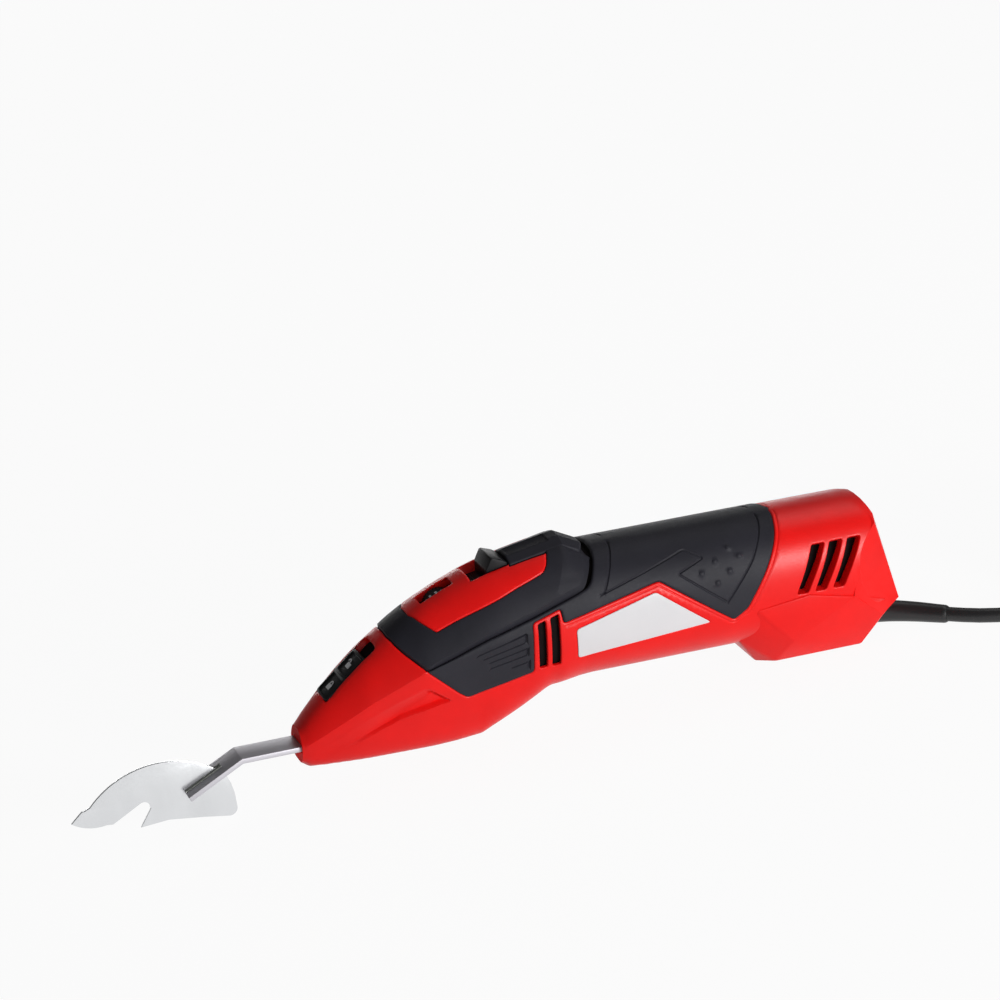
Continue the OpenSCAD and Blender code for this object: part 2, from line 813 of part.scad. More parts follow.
module terminal_block() {
    color("#e8e4d6") standing() difference() {
        translate([228, -10, wall + floor_gap + capacitor_size[2] + 0.05]) cube([16, 20, 7]);
        for (y = [-6, 0, 6])
            translate([236, y, wall + 10]) cylinder(h = 20, r = 1.6);
    }
}

module cord_clamp() {
    color(black) standing() translate([259, -7, wall + floor_gap]) difference() {
        cube([7, 14, 6]);
        for (y = [2.5, 11.5])
            translate([3.5, y, 2]) cylinder(h = 10, r = 1.2);
    }
}

module clamp_screws() {
    color(steel) standing()
        for (y = [-4.5, 4.5])
            translate([262.5, y, wall + floor_gap + 2]) union() {
                cylinder(h = 4, r = 1.2);
                translate([0, 0, 4]) cylinder(h = 1.4, r = 2.2);
            }
}

// Armature, all on one shaft.
module armature_shaft() {
    color(steel) standing() union() {
        bar_between(shaft_front, bulkhead_x, nose_shaft_r, motor_z);
        bar_between(bulkhead_x - 1, shaft_end, shaft_r, motor_z);
    }
}

module pinion() {
    flank = [[-14, 3.3], [-3.8, 5.2], [3.8, 5.2], [14, 3.3]];
    outline = [for (i = [0:pinion_teeth - 1], f = flank)
        let (a = i * 360 / pinion_teeth + f[0]) f[1] * [sin(a), -cos(a)]];
    color("#8d9094") standing() difference() {
        translate([mesh_x - pinion_length / 2, 0, motor_z]) rotate([90, 0, 90])
            linear_extrude(pinion_length) polygon(outline);
        bar_between(mesh_x - 10, mesh_x + 10, nose_shaft_r, motor_z);
    }
}

module armature_core() {
    slots = 12;
    color("#6d7074") standing() difference() {
        bar_between(core_x[0], core_x[1], core_r, motor_z);
        bar_between(core_x[0] - 1, core_x[1] + 1, shaft_r, motor_z);
        for (i = [0:slots - 1])
            translate([core_x[0] - 1, 0, motor_z]) rotate([i * 360 / slots, 0, 0])
                translate([0, -0.8, core_r - 2.5]) cube([core_x[1] - core_x[0] + 2, 1.6, 5]);
    }
}

module armature_windings() {
    color("#b5652d") standing()
        for (x = [core_x[0] - 7, core_x[1]])
            ring_between(x, x + 7, core_r - 1.5, shaft_r, motor_z);
}

module commutator() {
    bars = 18;
    color("#b87b4a") standing() difference() {
        bar_between(commutator_x[0], commutator_x[1], commutator_r, motor_z);
        bar_between(commutator_x[0] - 1, commutator_x[1] + 1, shaft_r, motor_z);
        for (i = [0:bars - 1])
            translate([commutator_x[0] - 1, 0, motor_z]) rotate([i * 360 / bars, 0, 0])
                translate([0, -0.2, commutator_r - 0.8]) cube([14, 0.4, 3]);
    }
}

module fan() {
    blades = 11;
    length = fan_x[1] - fan_x[0];
    color("#d8d8d4") standing() difference() {
        union() {
            bar_between(fan_x[0], fan_x[1], shaft_r + 3, motor_z);
            bar_between(fan_x[1] - 1.6, fan_x[1], fan_r, motor_z);
            for (i = [0:blades - 1])
                translate([fan_x[0], 0, motor_z]) rotate([i * 360 / blades, 0, 0])
                    translate([0, -0.7, shaft_r + 2]) cube([length - 1, 1.4, fan_r - shaft_r - 2.5]);
        }
        bar_between(fan_x[0] - 1, fan_x[1] + 1, shaft_r, motor_z);
    }
}

// Crank: shaft with an eccentric pin, crown gear and the pin's bearing.
module crank_shaft() {
    color(steel) standing() translate([crank_x, 0, 0]) {
        translate([0, 0, yoke_half + 0.3])
            cylinder(h = gear_low + gear_disc - yoke_half - 0.3, r = gear_bore);
        translate([throw, 0, -eccentric_half]) cylinder(h = eccentric_half + yoke_half + 1, r = pin_r);
    }
}

module crown_gear() {
    inner = gear_mean - 2.2;
    disc_top = gear_low + gear_disc;
    color("#8d9094") standing() translate([crank_x, 0, 0]) difference() {
        union() {
            translate([0, 0, gear_low]) cylinder(h = gear_disc, r = gear_rim);
            for (i = [0:gear_teeth - 1])
                rotate([0, 0, (i + 0.5) * 360 / gear_teeth])
                    translate([inner, -tooth_width / 2, disc_top - 0.5])
                        cube([gear_rim - inner - 0.3, tooth_width, tooth_top - disc_top + 0.5]);
        }
        translate([0, 0, gear_low - 1]) cylinder(h = gear_disc + 2, r = gear_bore);
    }
}

module eccentric_bearing() {
    color(steel) standing() translate([crank_x + throw, 0, -eccentric_half]) difference() {
        cylinder(h = 2 * eccentric_half, r = eccentric_r);
        translate([0, 0, -1]) cylinder(h = 20, r = pin_r);
    }
}

// Plunger: blade holder, rods and the yoke round the eccentric.
module plunger() {
    rod = plunger_dia / 2;
    color("#9a9da1") standing() difference() {
        union() {
            translate([holder_front, -holder_half, -holder_z])
                cube([holder_end - holder_front, 2 * holder_half, 2 * holder_z]);
            bar_between(holder_end - 1, crank_x - window_x - 0.5, rod);
            bar_between(crank_x + window_x + 0.5, tail_end, tail_dia / 2);
            translate([crank_x - yoke_x, -yoke_y, -yoke_half]) cube([2 * yoke_x, 2 * yoke_y, 2 * yoke_half]);
        }
        translate([crank_x - window_x, -window_y, -30]) cube([2 * window_x, 2 * window_y, 60]);
        translate([holder_front - 1, -shank_width / 2 - slip, -shank_thickness / 2 - slip])
            cube([shank_tail - holder_front + 1.2, shank_width + 2 * slip, shank_thickness + 2 * slip]);
    }
}

// Blade: a crescent with a hook cut into its edge.
function arc(mid, r, from, to, steps) =
    [for (i = [0:steps]) let (a = from + (to - from) * i / steps) mid + r * [cos(a), sin(a)]];

blade_outline = concat(
    [tip, [-98.6, -11.6], [-97.9, -12.1]],
    arc(arc_mid, arc_r, 141, 46, 28),
    [[-31.6, -12], [-30.3, -17]],
    arc(heel_mid, heel_r, 10, -95, 8),
    [[-44.6, -25.8], [-60.8, -23.6], [-73.5, -24.6], [-68.2, -16.2]],
    arc([-71.4, -15.6], 2.8, -10, 125, 8),
    [[-85.7, -20.4]],
    arc([-92, -0.4], 20, -80, -122, 6));

module blade() {
    color("#cfd2d4") standing() translate([blade_shift, 0, 0])
        rotate([90, 0, 0]) linear_extrude(blade_thickness, center = true) polygon(blade_outline);
}

module shank() {
    half = shank_thickness / 2;
    elbow = half * tan(shank_slope / 2);
    down = [-cos(shank_slope), -sin(shank_slope)];
    across_down = [sin(shank_slope), -cos(shank_slope)] * half;
    end = [bend_x, 0] + shank_run * down;
    outline = [[shank_tail, half], [bend_x - elbow, half], end - across_down, end + across_down,
               [bend_x + elbow, -half], [shank_tail, -half]];
    color(steel) standing() difference() {
        rotate([90, 0, 0]) linear_extrude(shank_width, center = true) polygon(outline);
        translate([bend_x - 40, -blade_thickness / 2, -40]) cube([33, blade_thickness, 60]);
    }
}

// Lock slider on the nose, with two fingers that reach down to the wedge.
module lock_slider() {
    finger_x = post_half + finger_gap;
    color(black) standing() union() {
        on_nose() difference() {
            union() {
                translate([0, -lock_width / 2, -lock_sink]) cube([lock_length, lock_width, lock_thick]);
                translate([lock_length / 2 - 0.8, -lock_width / 2, 0]) cube([1.6, lock_width, 1.2]);
            }
            for (s = [1.6, lock_length / 2 + 1.6])
                translate([s, -lock_width / 2 + 1.6, 0.1])
                    cube([lock_length / 2 - 3.2, lock_width - 3.2, 5]);
        }
        difference() {
            for (x = [post_x - finger_x - finger_width, post_x + finger_x])
                translate([x, -3, finger_low]) cube([finger_width, 6, 26]);
            on_nose(-40) translate([0, -20, -lock_sink + 0.2]) cube([100, 40, 60]);
        }
    }
}

// Padlock marks on the slider's two pads.
module lock_icons() {
    color("#f0f0ee") standing()
        for (i = [0, 1])
            on_nose(lock_length * (0.25 + 0.5 * i)) translate([0, 0, 0.1]) {
                translate([-3.2, -2.4, 0]) cube([3.4, 4.8, 0.25]);
                translate([0.2, -1.9 + 1.2 * i, 0]) cube([2.4, 0.8, 0.25]);
                translate([0.2, 1.1 + 1.2 * i, 0]) cube([1.2 + 1.2 * (1 - i), 0.8, 0.25]);
                translate([2.2, -1.9 + 1.2 * i, 0]) cube([0.8, 3.8, 0.25]);
            }
}

module clamp_wedge() {
    color("#8d9094") standing() union() {
        translate([post_x - wedge_half, -4, holder_z]) cube([2 * wedge_half, 8, wedge_top - holder_z]);
        translate([post_x - post_half, -3, holder_z]) cube([2 * post_half, 6, post_top - holder_z]);
    }
}

// Switch knob: a wedge on the panel, with a slide plate below the panel and a leg to the switch.
module switch_knob() {
    base = plate_start[1];
    color("#303136") standing() union() {
        rotate([90, 0, 0]) linear_extrude(knob_width, center = true)
            polygon([[knob_front, base], [knob_end, base + 3], [knob_end, 69.9], [knob_ridge[0] + 5.8, 71.2],
                     knob_ridge, [knob_ridge[0] - 0.8, knob_ridge[1] - 0.2], [knob_front, 67.8]]);
        translate([plate_start[0], -plate_half, plate_start[1]]) rotate([0, -knob_slope, 0])
            translate([0, 0, -plate_thick]) cube([knob_end - plate_start[0], 2 * plate_half, plate_thick]);
        translate([knob_front + 2, -2, bulkhead_top + 6]) cube([6, 4, base - bulkhead_top - 4]);
    }
}

module speed_dial() {
    knurls = 24;
    pin_half = dial_width / 2 + 3.4;
    color("#1d1e21") standing() translate([dial_at[0], 0, dial_at[1]]) rotate([90, 0, 0]) union() {
        difference() {
            cylinder(h = dial_width, r = dial_dia / 2, center = true);
            for (i = [0:knurls - 1])
                rotate([0, 0, i * 360 / knurls]) translate([dial_dia / 2 + 0.3, 0, 0])
                    cube([1.4, 0.9, 20], center = true);
        }
        cylinder(h = 2 * pin_half, r = dial_pin_r, center = true);
    }
}

// Tubes along routes. Each ring stands square to the route.
function unit(v) = v / norm(v);
function way(route, i) = unit(route[min(i + 1, len(route) - 1)] - route[max(i - 1, 0)]);
function tube_ring(at, along, r, sides) =
    let (flat = unit(cross(along, [0, 0, 1])), up = cross(flat, along))
    [for (j = [0:sides - 1]) at + r * (cos(360 * j / sides) * flat + sin(360 * j / sides) * up)];

module tube(route, radii, sides) {
    points = [for (i = [0:len(route) - 1]) each tube_ring(route[i], way(route, i), radii[i], sides)];
    polyhedron(points, [for (f = ring_faces(len(route), sides)) [f[0], f[2], f[1]]]);
}

sleeve_radii = [for (i = [0:len(sleeve_route) - 1])
    sleeve_dia / 2 + (sleeve_tip_dia - sleeve_dia) / 2 * max(i - 1, 0) / (len(sleeve_route) - 2)];

// The hole for the sleeve, in the tool's own axes.
module cord_hole() {
    rotate([0, -rest_tilt, 0]) translate([rest_mid, 0, -rest_lift])
        translate([170, 0, sleeve_route[1][2]]) rotate([0, 90, 0])
            cylinder(h = 60, r = sleeve_dia / 2 + 0.3, $fn = 32);
}

module sleeve() {
    color("#1c1c1e") tube(sleeve_route, sleeve_radii, 12);
}

cord_route = [[223, -26, 4.5], [229, -30.8, 4.2], [236, -35.2, 3.9], [244, -39, cord_rest],
              [253, -42, cord_rest], [263, -44.4, cord_rest], [274, -46.2, 3.8], [286, -47.8, 4]];

module cord() {
    route = concat([sleeve_route[len(sleeve_route) - 1]], cord_route, [coil_lead - 13 * coil_way, coil_lead]);
    color("#1c1c1e") tube(route, [for (p = route) cord_r], cord_sides);
}

// The put-away length: loops that spiral in and out again, layer on layer, and a tail down to the plug.
coil_outer = coil_inner + coil_pitch * coil_turns;
all_turns = coil_turns * coil_layers;
function ease(t) = let (u = max(0, min(1, t))) u * u * (3 - 2 * u);
function coil_radius(turn) =
    let (layer = floor(turn / coil_turns), part = turn / coil_turns - layer)
    coil_inner + coil_pitch * coil_turns * (layer % 2 == 0 ? 1 - part : part);
function coil_height(turn) =
    let (layer = floor(turn / coil_turns + 0.5), near = turn - layer * coil_turns)
    layer == 0 ? coil_rest
    : layer == coil_layers ? coil_rest + layer_rise * (layer - 1)
    : coil_rest + layer_rise * (layer - 0.5 + max(-0.25, min(0.25, near)) / 0.5);
function loop_point(turn, r, z) =
    let (a = coil_start + 360 * turn)
    [coil_mid[0] + r * cos(a), coil_mid[1] + r * sin(a), z];
function tail_point(share) =
    loop_point(all_turns + share * tail_turn, coil_outer + tail_reach * share,
               lerp(coil_height(all_turns), tail_level, ease((share - 0.25) / 0.75)));
function lerp(a, b, t) = a + (b - a) * t;
tail_heading = coil_start + 360 * (all_turns + tail_turn) + 90;
tail_way = [cos(tail_heading), sin(tail_heading), 0];
tail_end_at = tail_point(1);
coil_way = [-sin(coil_start), cos(coil_start), 0];
coil_lead = loop_point(0, coil_outer, coil_rest) - cord_dia * coil_way;
coil_route = concat(
    [coil_lead],
    [for (i = [0:all_turns * coil_rings - 1])
        let (t = i / coil_rings) loop_point(t, coil_radius(t), coil_height(t))],
    [for (i = [0:6]) tail_point(i / 6)],
    [tail_end_at + cord_dia * tail_way]);
coil_gap = min([for (i = [0:len(coil_route) - 1], j = [i + coil_rings / 2:1:len(coil_route) - 1])
    norm(coil_route[i] - coil_route[j])]) - cord_dia;
echo(least_gap_in_coil = coil_gap);

module cord_coil() {
    color("#1c1c1e") tube(coil_route, [for (p = coil_route) cord_r], coil_sides);
}

// A band round the bundle of loops.
module cord_tie() {
    inside = [coil_inner - cord_r - 0.6, coil_outer + cord_r + 0.6];
    top = coil_height(all_turns) + cord_r + 0.1;
    color("#1c1c1e") translate([coil_mid[0], coil_mid[1], 0]) rotate([0, 0, tie_angle]) difference() {
        translate([inside[0] - tie_thick, -tie_width / 2, 0])
            cube([inside[1] - inside[0] + 2 * tie_thick, tie_width, top + tie_thick]);
        translate([inside[0], -tie_width, tie_thick])
            cube([inside[1] - inside[0], 2 * tie_width, top - tie_thick]);
    }
}

module at_plug() {
    translate(tail_end_at + cord_dia * tail_way) rotate([0, 0, tail_heading]) rotate([0, 90, 0]) children();
}

// Flat two-pin plug, lying on the floor beside the coil.
module plug() {
    color("#1c1c1e") at_plug() union() {
        cylinder(h = 14, r1 = cord_r + 1, r2 = cord_r + 2);
        hull() {
            translate([0, 0, 12]) cylinder(h = 1, r = cord_r + 2, $fn = 32);
            for (side = [-1, 1])
                translate([0, side * plug_half, 24]) cylinder(h = 16, r = plug_thick, $fn = 32);
        }
    }
}

module plug_pins() {
    color(steel) at_plug()
        for (side = [-1, 1])
            translate([0, side * pin_spacing / 2, 40]) cylinder(h = 19, r = 2.4);
}

left_housing();
right_housing();
left_grip();
right_grip();
front_cover();
switch_panel();
left_label();
right_label();
housing_screws();
gear_frame();
front_bush();
rear_bush();
crank_bearings();
front_bearing();
rear_bearing();
stator();
field_coils();
brush_holders();
brushes();
switch_unit();
dial_bracket();
potentiometer();
capacitor();
terminal_block();
cord_clamp();
clamp_screws();
armature_shaft();
pinion();
armature_core();
armature_windings();
commutator();
fan();
crank_shaft();
crown_gear();
eccentric_bearing();
plunger();
blade();
shank();
lock_slider();
lock_icons();
clamp_wedge();
switch_knob();
speed_dial();
sleeve();
cord();
cord_coil();
cord_tie();
plug();
plug_pins();
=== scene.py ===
"""Looks of a mains power scraper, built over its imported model.

Sizes are millimetres in the tool's own axes: X from the nose to the rear along the plunger,
Y to the user's right, Z up. standing() tilts and lifts them into the frame, in metres.
"""

import json
import math
from collections import namedtuple

import bmesh
import bpy
import numpy as np
from mathutils import Matrix, Vector
from mathutils.geometry import delaunay_2d_cdt
from mathutils.kdtree import KDTree


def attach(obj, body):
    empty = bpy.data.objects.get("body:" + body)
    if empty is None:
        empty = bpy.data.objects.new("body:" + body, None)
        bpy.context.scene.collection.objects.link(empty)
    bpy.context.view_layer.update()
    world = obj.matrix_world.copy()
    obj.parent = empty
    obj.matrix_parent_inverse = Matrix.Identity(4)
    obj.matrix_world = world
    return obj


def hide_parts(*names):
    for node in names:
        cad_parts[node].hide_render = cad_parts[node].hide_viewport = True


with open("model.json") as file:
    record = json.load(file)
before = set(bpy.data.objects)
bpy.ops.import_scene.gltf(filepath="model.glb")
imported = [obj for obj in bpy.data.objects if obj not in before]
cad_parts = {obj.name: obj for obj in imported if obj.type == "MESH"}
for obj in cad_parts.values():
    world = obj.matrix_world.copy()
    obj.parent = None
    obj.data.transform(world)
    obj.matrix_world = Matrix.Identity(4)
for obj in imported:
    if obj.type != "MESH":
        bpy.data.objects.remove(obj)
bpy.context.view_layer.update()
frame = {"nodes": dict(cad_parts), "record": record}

MM = 0.001
TINY = 1e-9

# Rest: the floor touches the blade's heel and the rear block's edge.
FOOT_X = 268
HEEL_MID = (-33.1, -24.2)
HEEL_R = 3.5
BLADE_TIP = (-104, -16.4)
REAR_TIP = (288.5, 13, 18.5)
REST_SPAN = (FOOT_X - HEEL_MID[0], -HEEL_MID[1])
TILT = math.atan2(REST_SPAN[1], REST_SPAN[0]) + math.asin(HEEL_R / math.hypot(*REST_SPAN))
LIFT = FOOT_X * math.sin(TILT)
MIDDLE = ((BLADE_TIP[0] + REAR_TIP[0]) * math.cos(TILT) + (BLADE_TIP[1] + REAR_TIP[2]) * math.sin(TILT)) / 2


def turned(vectors):
    """Directions of the tool's axes in the frame."""
    v = np.asarray(vectors, float)
    c, s = math.cos(TILT), math.sin(TILT)
    return np.stack([v[..., 0] * c + v[..., 2] * s, v[..., 1], v[..., 2] * c - v[..., 0] * s], -1)


def standing(points):
    """Points of the tool, in mm, as the frame's metres."""
    return (turned(points) + np.array([-MIDDLE, 0, LIFT])) * MM


# Camera, as found from the photograph: its place and axes in the tool's own frame.
IMAGE_SIZE = 1000
FOCAL_PIXELS = 3300
SENSOR_MM = 36
CAMERA_AT = (-342.5, -1290.1, 606.7)
CAMERA_RIGHT = (0.93679, -0.34518, -0.05718)
CAMERA_UP = (0.17153, 0.31063, 0.93493)
CAMERA_BACK = (-0.30495, -0.88564, 0.35021)


def make_camera():
    data = bpy.data.cameras.new("camera")
    data.sensor_width = SENSOR_MM
    data.lens = FOCAL_PIXELS * SENSOR_MM / IMAGE_SIZE
    data.clip_start, data.clip_end = 0.05, 50
    camera = bpy.data.objects.new("camera", data)
    axes = [turned(v) for v in (CAMERA_RIGHT, CAMERA_UP, CAMERA_BACK)]
    matrix = Matrix([[axes[j][i] for j in range(3)] for i in range(3)]).to_4x4()
    matrix.translation = Vector(standing(CAMERA_AT))
    camera.matrix_world = matrix
    bpy.context.scene.collection.objects.link(camera)
    bpy.context.scene.camera = camera


make_camera()


# Materials.

NOISE_SPAN = (0.3, 0.7)
BUMP_DEPTH = 0.0001


def set_inputs(tree, node, **values):
    """Sets a node's inputs, or links those given as a socket; _ stands for a space."""
    for name, value in values.items():
        socket = node.inputs[name.replace("_", " ")]
        if isinstance(value, bpy.types.NodeSocket):
            tree.links.new(value, socket)
        else:
            socket.default_value = value
    return node


def new_node(tree, kind, **values):
    return set_inputs(tree, tree.nodes.new("ShaderNode" + kind), **values)


def make_material(name, color, rough, grain, bump, shift=0.08, metallic=0.0, specular=0.5, stretch=None,
                  blotch=0.03):
    """A surface with a fine grain in its bump, and slow drifts of colour and roughness."""
    material = bpy.data.materials.new(name)
    material.use_nodes = True
    tree = material.node_tree
    source = new_node(tree, "TexCoord").outputs["Object"]
    if stretch is not None:
        source = new_node(tree, "Mapping", Scale=stretch, Vector=source).outputs["Vector"]
    drift, fine = [new_node(tree, "TexNoise", Scale=scale, Detail=detail, Vector=source).outputs["Fac"]
                   for scale, detail in ((grain * blotch, 4), (grain, 2))]
    ramp = new_node(tree, "ValToRGB", Fac=drift)
    for element, position, part in zip(ramp.color_ramp.elements, NOISE_SPAN, (1 - shift, 1 + shift)):
        element.position = position
        element.color = [min(1, c * part) for c in color] + [1]
    spread = new_node(tree, "MapRange", Value=fine, From_Min=NOISE_SPAN[0], From_Max=NOISE_SPAN[1],
                      To_Min=rough[0], To_Max=rough[1])
    relief = new_node(tree, "Bump", Height=fine, Strength=bump, Distance=BUMP_DEPTH)
    set_inputs(tree, tree.nodes["Principled BSDF"], Metallic=metallic, Specular_IOR_Level=specular,
               Base_Color=ramp.outputs["Color"], Roughness=spread.outputs["Result"],
               Normal=relief.outputs["Normal"])
    return material


RED = make_material("red_plastic", (0.84, 0.0055, 0.0045), (0.3, 0.44), 1900, 0.5, shift=0.05, specular=0.3)
MATT_RED = make_material("red_matt", (0.84, 0.0055, 0.0045), (0.55, 0.7), 1900, 0.5, shift=0.05, specular=0.08)
RUBBER = make_material("black_rubber", (0.0165, 0.016, 0.0225), (0.5, 0.64), 2300, 0.5, shift=0.12, specular=0.24)
BLACK = make_material("black_plastic", (0.0055, 0.0055, 0.0065), (0.38, 0.5), 2100, 0.25, shift=0.12, specular=0.2)
# Near-black painted shade, for the backs of the slots, the notch behind the cover and the floor under the lock
# slider.
PAINTED_SHADE = make_material("painted_shade_black", (0.006, 0.004, 0.004), (0.7, 0.9), 1500, 0.2, specular=0.1)
WHITE = make_material("white_print", (0.71, 0.71, 0.725), (0.34, 0.42), 1800, 0.05, shift=0.015, specular=0.3)
SHEATH = make_material("cord_sheath", (0.012, 0.012, 0.013), (0.34, 0.46), 1800, 0.15, shift=0.12)
BRIGHT = make_material("rolled_steel", (0.71, 0.72, 0.735), (0.2, 0.27), 1500, 0.05, shift=0.035, metallic=1.0,
                       stretch=(1, 1, 0.35), blotch=0.06)
SHANK = make_material("drawn_steel", (0.55, 0.535, 0.57), (0.44, 0.54), 1300, 0.08, shift=0.06, metallic=1.0,
                      stretch=(0.3, 1, 1))
WELD = make_material("weld_steel", (0.3, 0.31, 0.29), (0.42, 0.56), 1100, 0.3, shift=0.2, metallic=1.0)
STEEL = make_material("turned_steel", (0.52, 0.53, 0.55), (0.25, 0.4), 1600, 0.1, metallic=1.0)
GEAR = make_material("gear_steel", (0.3, 0.31, 0.33), (0.3, 0.45), 1600, 0.12, metallic=1.0)
SHEETS = make_material("lamination_steel", (0.2, 0.2, 0.22), (0.4, 0.55), 700, 0.3, metallic=1.0, stretch=(6, 1, 1))
CAST = make_material("cast_alloy", (0.45, 0.46, 0.47), (0.45, 0.6), 1200, 0.35, metallic=1.0)
BRASS = make_material("brass", (0.72, 0.48, 0.14), (0.25, 0.4), 1500, 0.1, metallic=1.0)
COPPER = make_material("copper", (0.6, 0.22, 0.09), (0.3, 0.45), 2600, 0.5, metallic=1.0, stretch=(5, 1, 1))
PALE = make_material("pale_plastic", (0.6, 0.58, 0.5), (0.4, 0.5), 1800, 0.15)
YELLOW = make_material("dipped_film", (0.55, 0.4, 0.06), (0.25, 0.35), 1500, 0.1)
BLUE = make_material("blue_plastic", (0.02, 0.09, 0.3), (0.35, 0.45), 1800, 0.1)

SLOT_MATERIALS = {
    "red_plastic": RED, "black_rubber": RUBBER, "black_plastic": BLACK, "white_label": WHITE, "blade_steel": BRIGHT,
    "steel": STEEL, "gear_steel": GEAR, "lamination_steel": SHEETS, "cast_alloy": CAST, "bronze": BRASS,
    "brass": BRASS, "copper": COPPER, "carbon": BLACK, "pale_plastic": PALE, "yellow_plastic": YELLOW,
    "blue_plastic": BLUE, "cord_black": SHEATH,
}


def dress_nodes():
    """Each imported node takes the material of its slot."""
    for part in frame["record"]["subparts"]:
        mesh = frame["nodes"][part["node"]].data
        mesh.materials.clear()
        mesh.materials.append(SLOT_MATERIALS[part["material_slot"]])


dress_nodes()


# Pieces.

def sharpen(mesh, limit_deg, sharp):
    """Smooth shading, with edges over the limit and the edges named in sharp kept sharp."""
    bm = bmesh.new()
    bm.from_mesh(mesh)
    bm.verts.ensure_lookup_table()
    for face in bm.faces:
        face.smooth = True
    for edge in bm.edges:
        if len(edge.link_faces) == 2:
            edge.smooth = edge.calc_face_angle(0) < math.radians(limit_deg)
    for a, b in sharp:
        edge = bm.edges.get((bm.verts[a], bm.verts[b]))
        if edge is not None:
            edge.smooth = False
    bm.to_mesh(mesh)
    bm.free()


class Pile:
    """Points, faces and sharp edges gathered from several shapes into one mesh."""

    def __init__(self):
        self.points = []
        self.faces = []
        self.sharp = []

    def add(self, points, faces, sharp=()):
        start = len(self.points)
        self.points.extend([tuple(float(v) for v in p) for p in points])
        self.faces.extend([tuple(int(i) + start for i in f) for f in faces])
        self.sharp.extend((int(a) + start, int(b) + start) for a, b in sharp)
        return self

    def mirror(self):
        """The same shapes on the other side."""
        self.points = [(x, -y, z) for x, y, z in self.points]
        self.faces = [f[::-1] for f in self.faces]
        return self


def add_piece(name, shape, material, body="housing", replaces=(), limit_deg=40, in_frame=False):
    """A mesh piece from one shape or a pile of them, in the tool's mm or in the frame's mm."""
    pile = shape if isinstance(shape, Pile) else Pile().add(*shape)
    mesh = bpy.data.meshes.new(name)
    places = np.asarray(pile.points, float) * MM if in_frame else standing(pile.points)
    mesh.from_pydata([tuple(p) for p in places], [], pile.faces)
    mesh.materials.append(material)
    sharpen(mesh, limit_deg, pile.sharp)
    piece = bpy.data.objects.new(name, mesh)
    bpy.context.scene.collection.objects.link(piece)
    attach(piece, body)
    if replaces:
        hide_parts(*replaces)
    return piece


def rounded_mesh(bm, bevel, segments=3, before=None):
    """Points and faces of a solid whose edges are rounded, or only those before an X."""
    sharp = [e for e in bm.edges if len(e.link_faces) == 2 and e.calc_face_angle(0) > math.radians(12)]
    if before is not None:
        sharp = [e for e in sharp if max(v.co.x for v in e.verts) < before]
    if bevel:
        bmesh.ops.bevel(bm, geom=sharp, offset=bevel, segments=segments, affect="EDGES", profile=0.5,
                        clamp_overlap=True)
    bmesh.ops.recalc_face_normals(bm, faces=bm.faces)
    bm.verts.index_update()
    points = [tuple(v.co) for v in bm.verts]
    faces = [[v.index for v in f.verts] for f in bm.faces]
    bm.free()
    return points, faces


def hull(points, bevel, before=None):
    """A convex solid on the points, with its edges rounded."""
    bm = bmesh.new()
    for p in points:
        bm.verts.new(p)
    made = bmesh.ops.convex_hull(bm, input=bm.verts)
    spare = {g for g in made["geom_interior"] + made["geom_unused"] if isinstance(g, bmesh.types.BMVert)}
    bmesh.ops.delete(bm, geom=list(spare), context="VERTS")
    bmesh.ops.dissolve_limit(bm, angle_limit=math.radians(2), verts=bm.verts, edges=bm.edges)
    return rounded_mesh(bm, bevel, before=before)


def plate(outline, half, bevel, segments=3):
    """A plate from an outline in X and Z, across Y, with its edges rounded."""
    bm = bmesh.new()
    face = bm.faces.new([bm.verts.new((x, -half, z)) for x, z in outline])
    made = bmesh.ops.extrude_face_region(bm, geom=[face])
    moved = [g for g in made["geom"] if isinstance(g, bmesh.types.BMVert)]
    bmesh.ops.translate(bm, vec=(0, 2 * half, 0), verts=moved)
    return rounded_mesh(bm, bevel, segments)


def tube(path, radii, sides):
    """A tube along a path, its rings turned as little as can be."""
    path = np.asarray(path, float)
    ways = np.gradient(path, axis=0)
    ways /= np.linalg.norm(ways, axis=1, keepdims=True)
    across = np.cross(ways[0], (0, 0, 1.0))
    angles = np.linspace(0, 2 * math.pi, sides + 1)[:-1]
    points = []
    for p, way, r in zip(path, ways, np.broadcast_to(radii, len(path))):
        across = across - way * np.dot(across, way)
        across /= np.linalg.norm(across)
        up = np.cross(across, way)
        points.extend(p + r * (math.cos(a) * across + math.sin(a) * up) for a in angles)
    faces = [(i * sides + j, i * sides + (j + 1) % sides, (i + 1) * sides + (j + 1) % sides, (i + 1) * sides + j)
             for i in range(len(path) - 1) for j in range(sides)]
    faces += [tuple(range(sides))[::-1], tuple(range((len(path) - 1) * sides, len(path) * sides))]
    return points, [f[::-1] for f in faces]


# Cord, in the frame's own mm: sleeve, lead, coil of four layers, tie and plug.
CORD_DIA = 6.8
SLEEVE_ROUTE = [(178, 0, 7.6), (184, 0, 7.3), (190, -1.2, 6.9), (196, -3.8, 6.4), (202, -7.6, 5.9), (207.6, -12, 5.5),
                (213, -16.8, 5.1), (218, -21.4, 4.8)]
SLEEVE_RADII = (5.7, 4.2)
CORD_ROUTE = [(223, -26, 4.5), (229, -30.8, 4.2), (236, -35.2, 3.9), (244, -39, 3.7), (253, -42, 3.7),
              (263, -44.4, 3.7), (274, -46.2, 3.8), (286, -47.8, 4)]
COIL_MID = (316, -5.8)
COIL_START = 262
COIL_INNER = 27
COIL_PITCH = 7.5
LAYER_TURNS = 2.5
LAYERS = 4
COIL_TURNS = LAYERS * LAYER_TURNS
COIL_OUTER = COIL_INNER + LAYER_TURNS * COIL_PITCH
COIL_REST = 4.3
LAYER_RISE = 7.3
CROSSING = 0.25
TAIL_TURN = 0.21
TAIL_REACH = 17
TAIL_LEVEL = 7.2
TURN_STEPS = 36
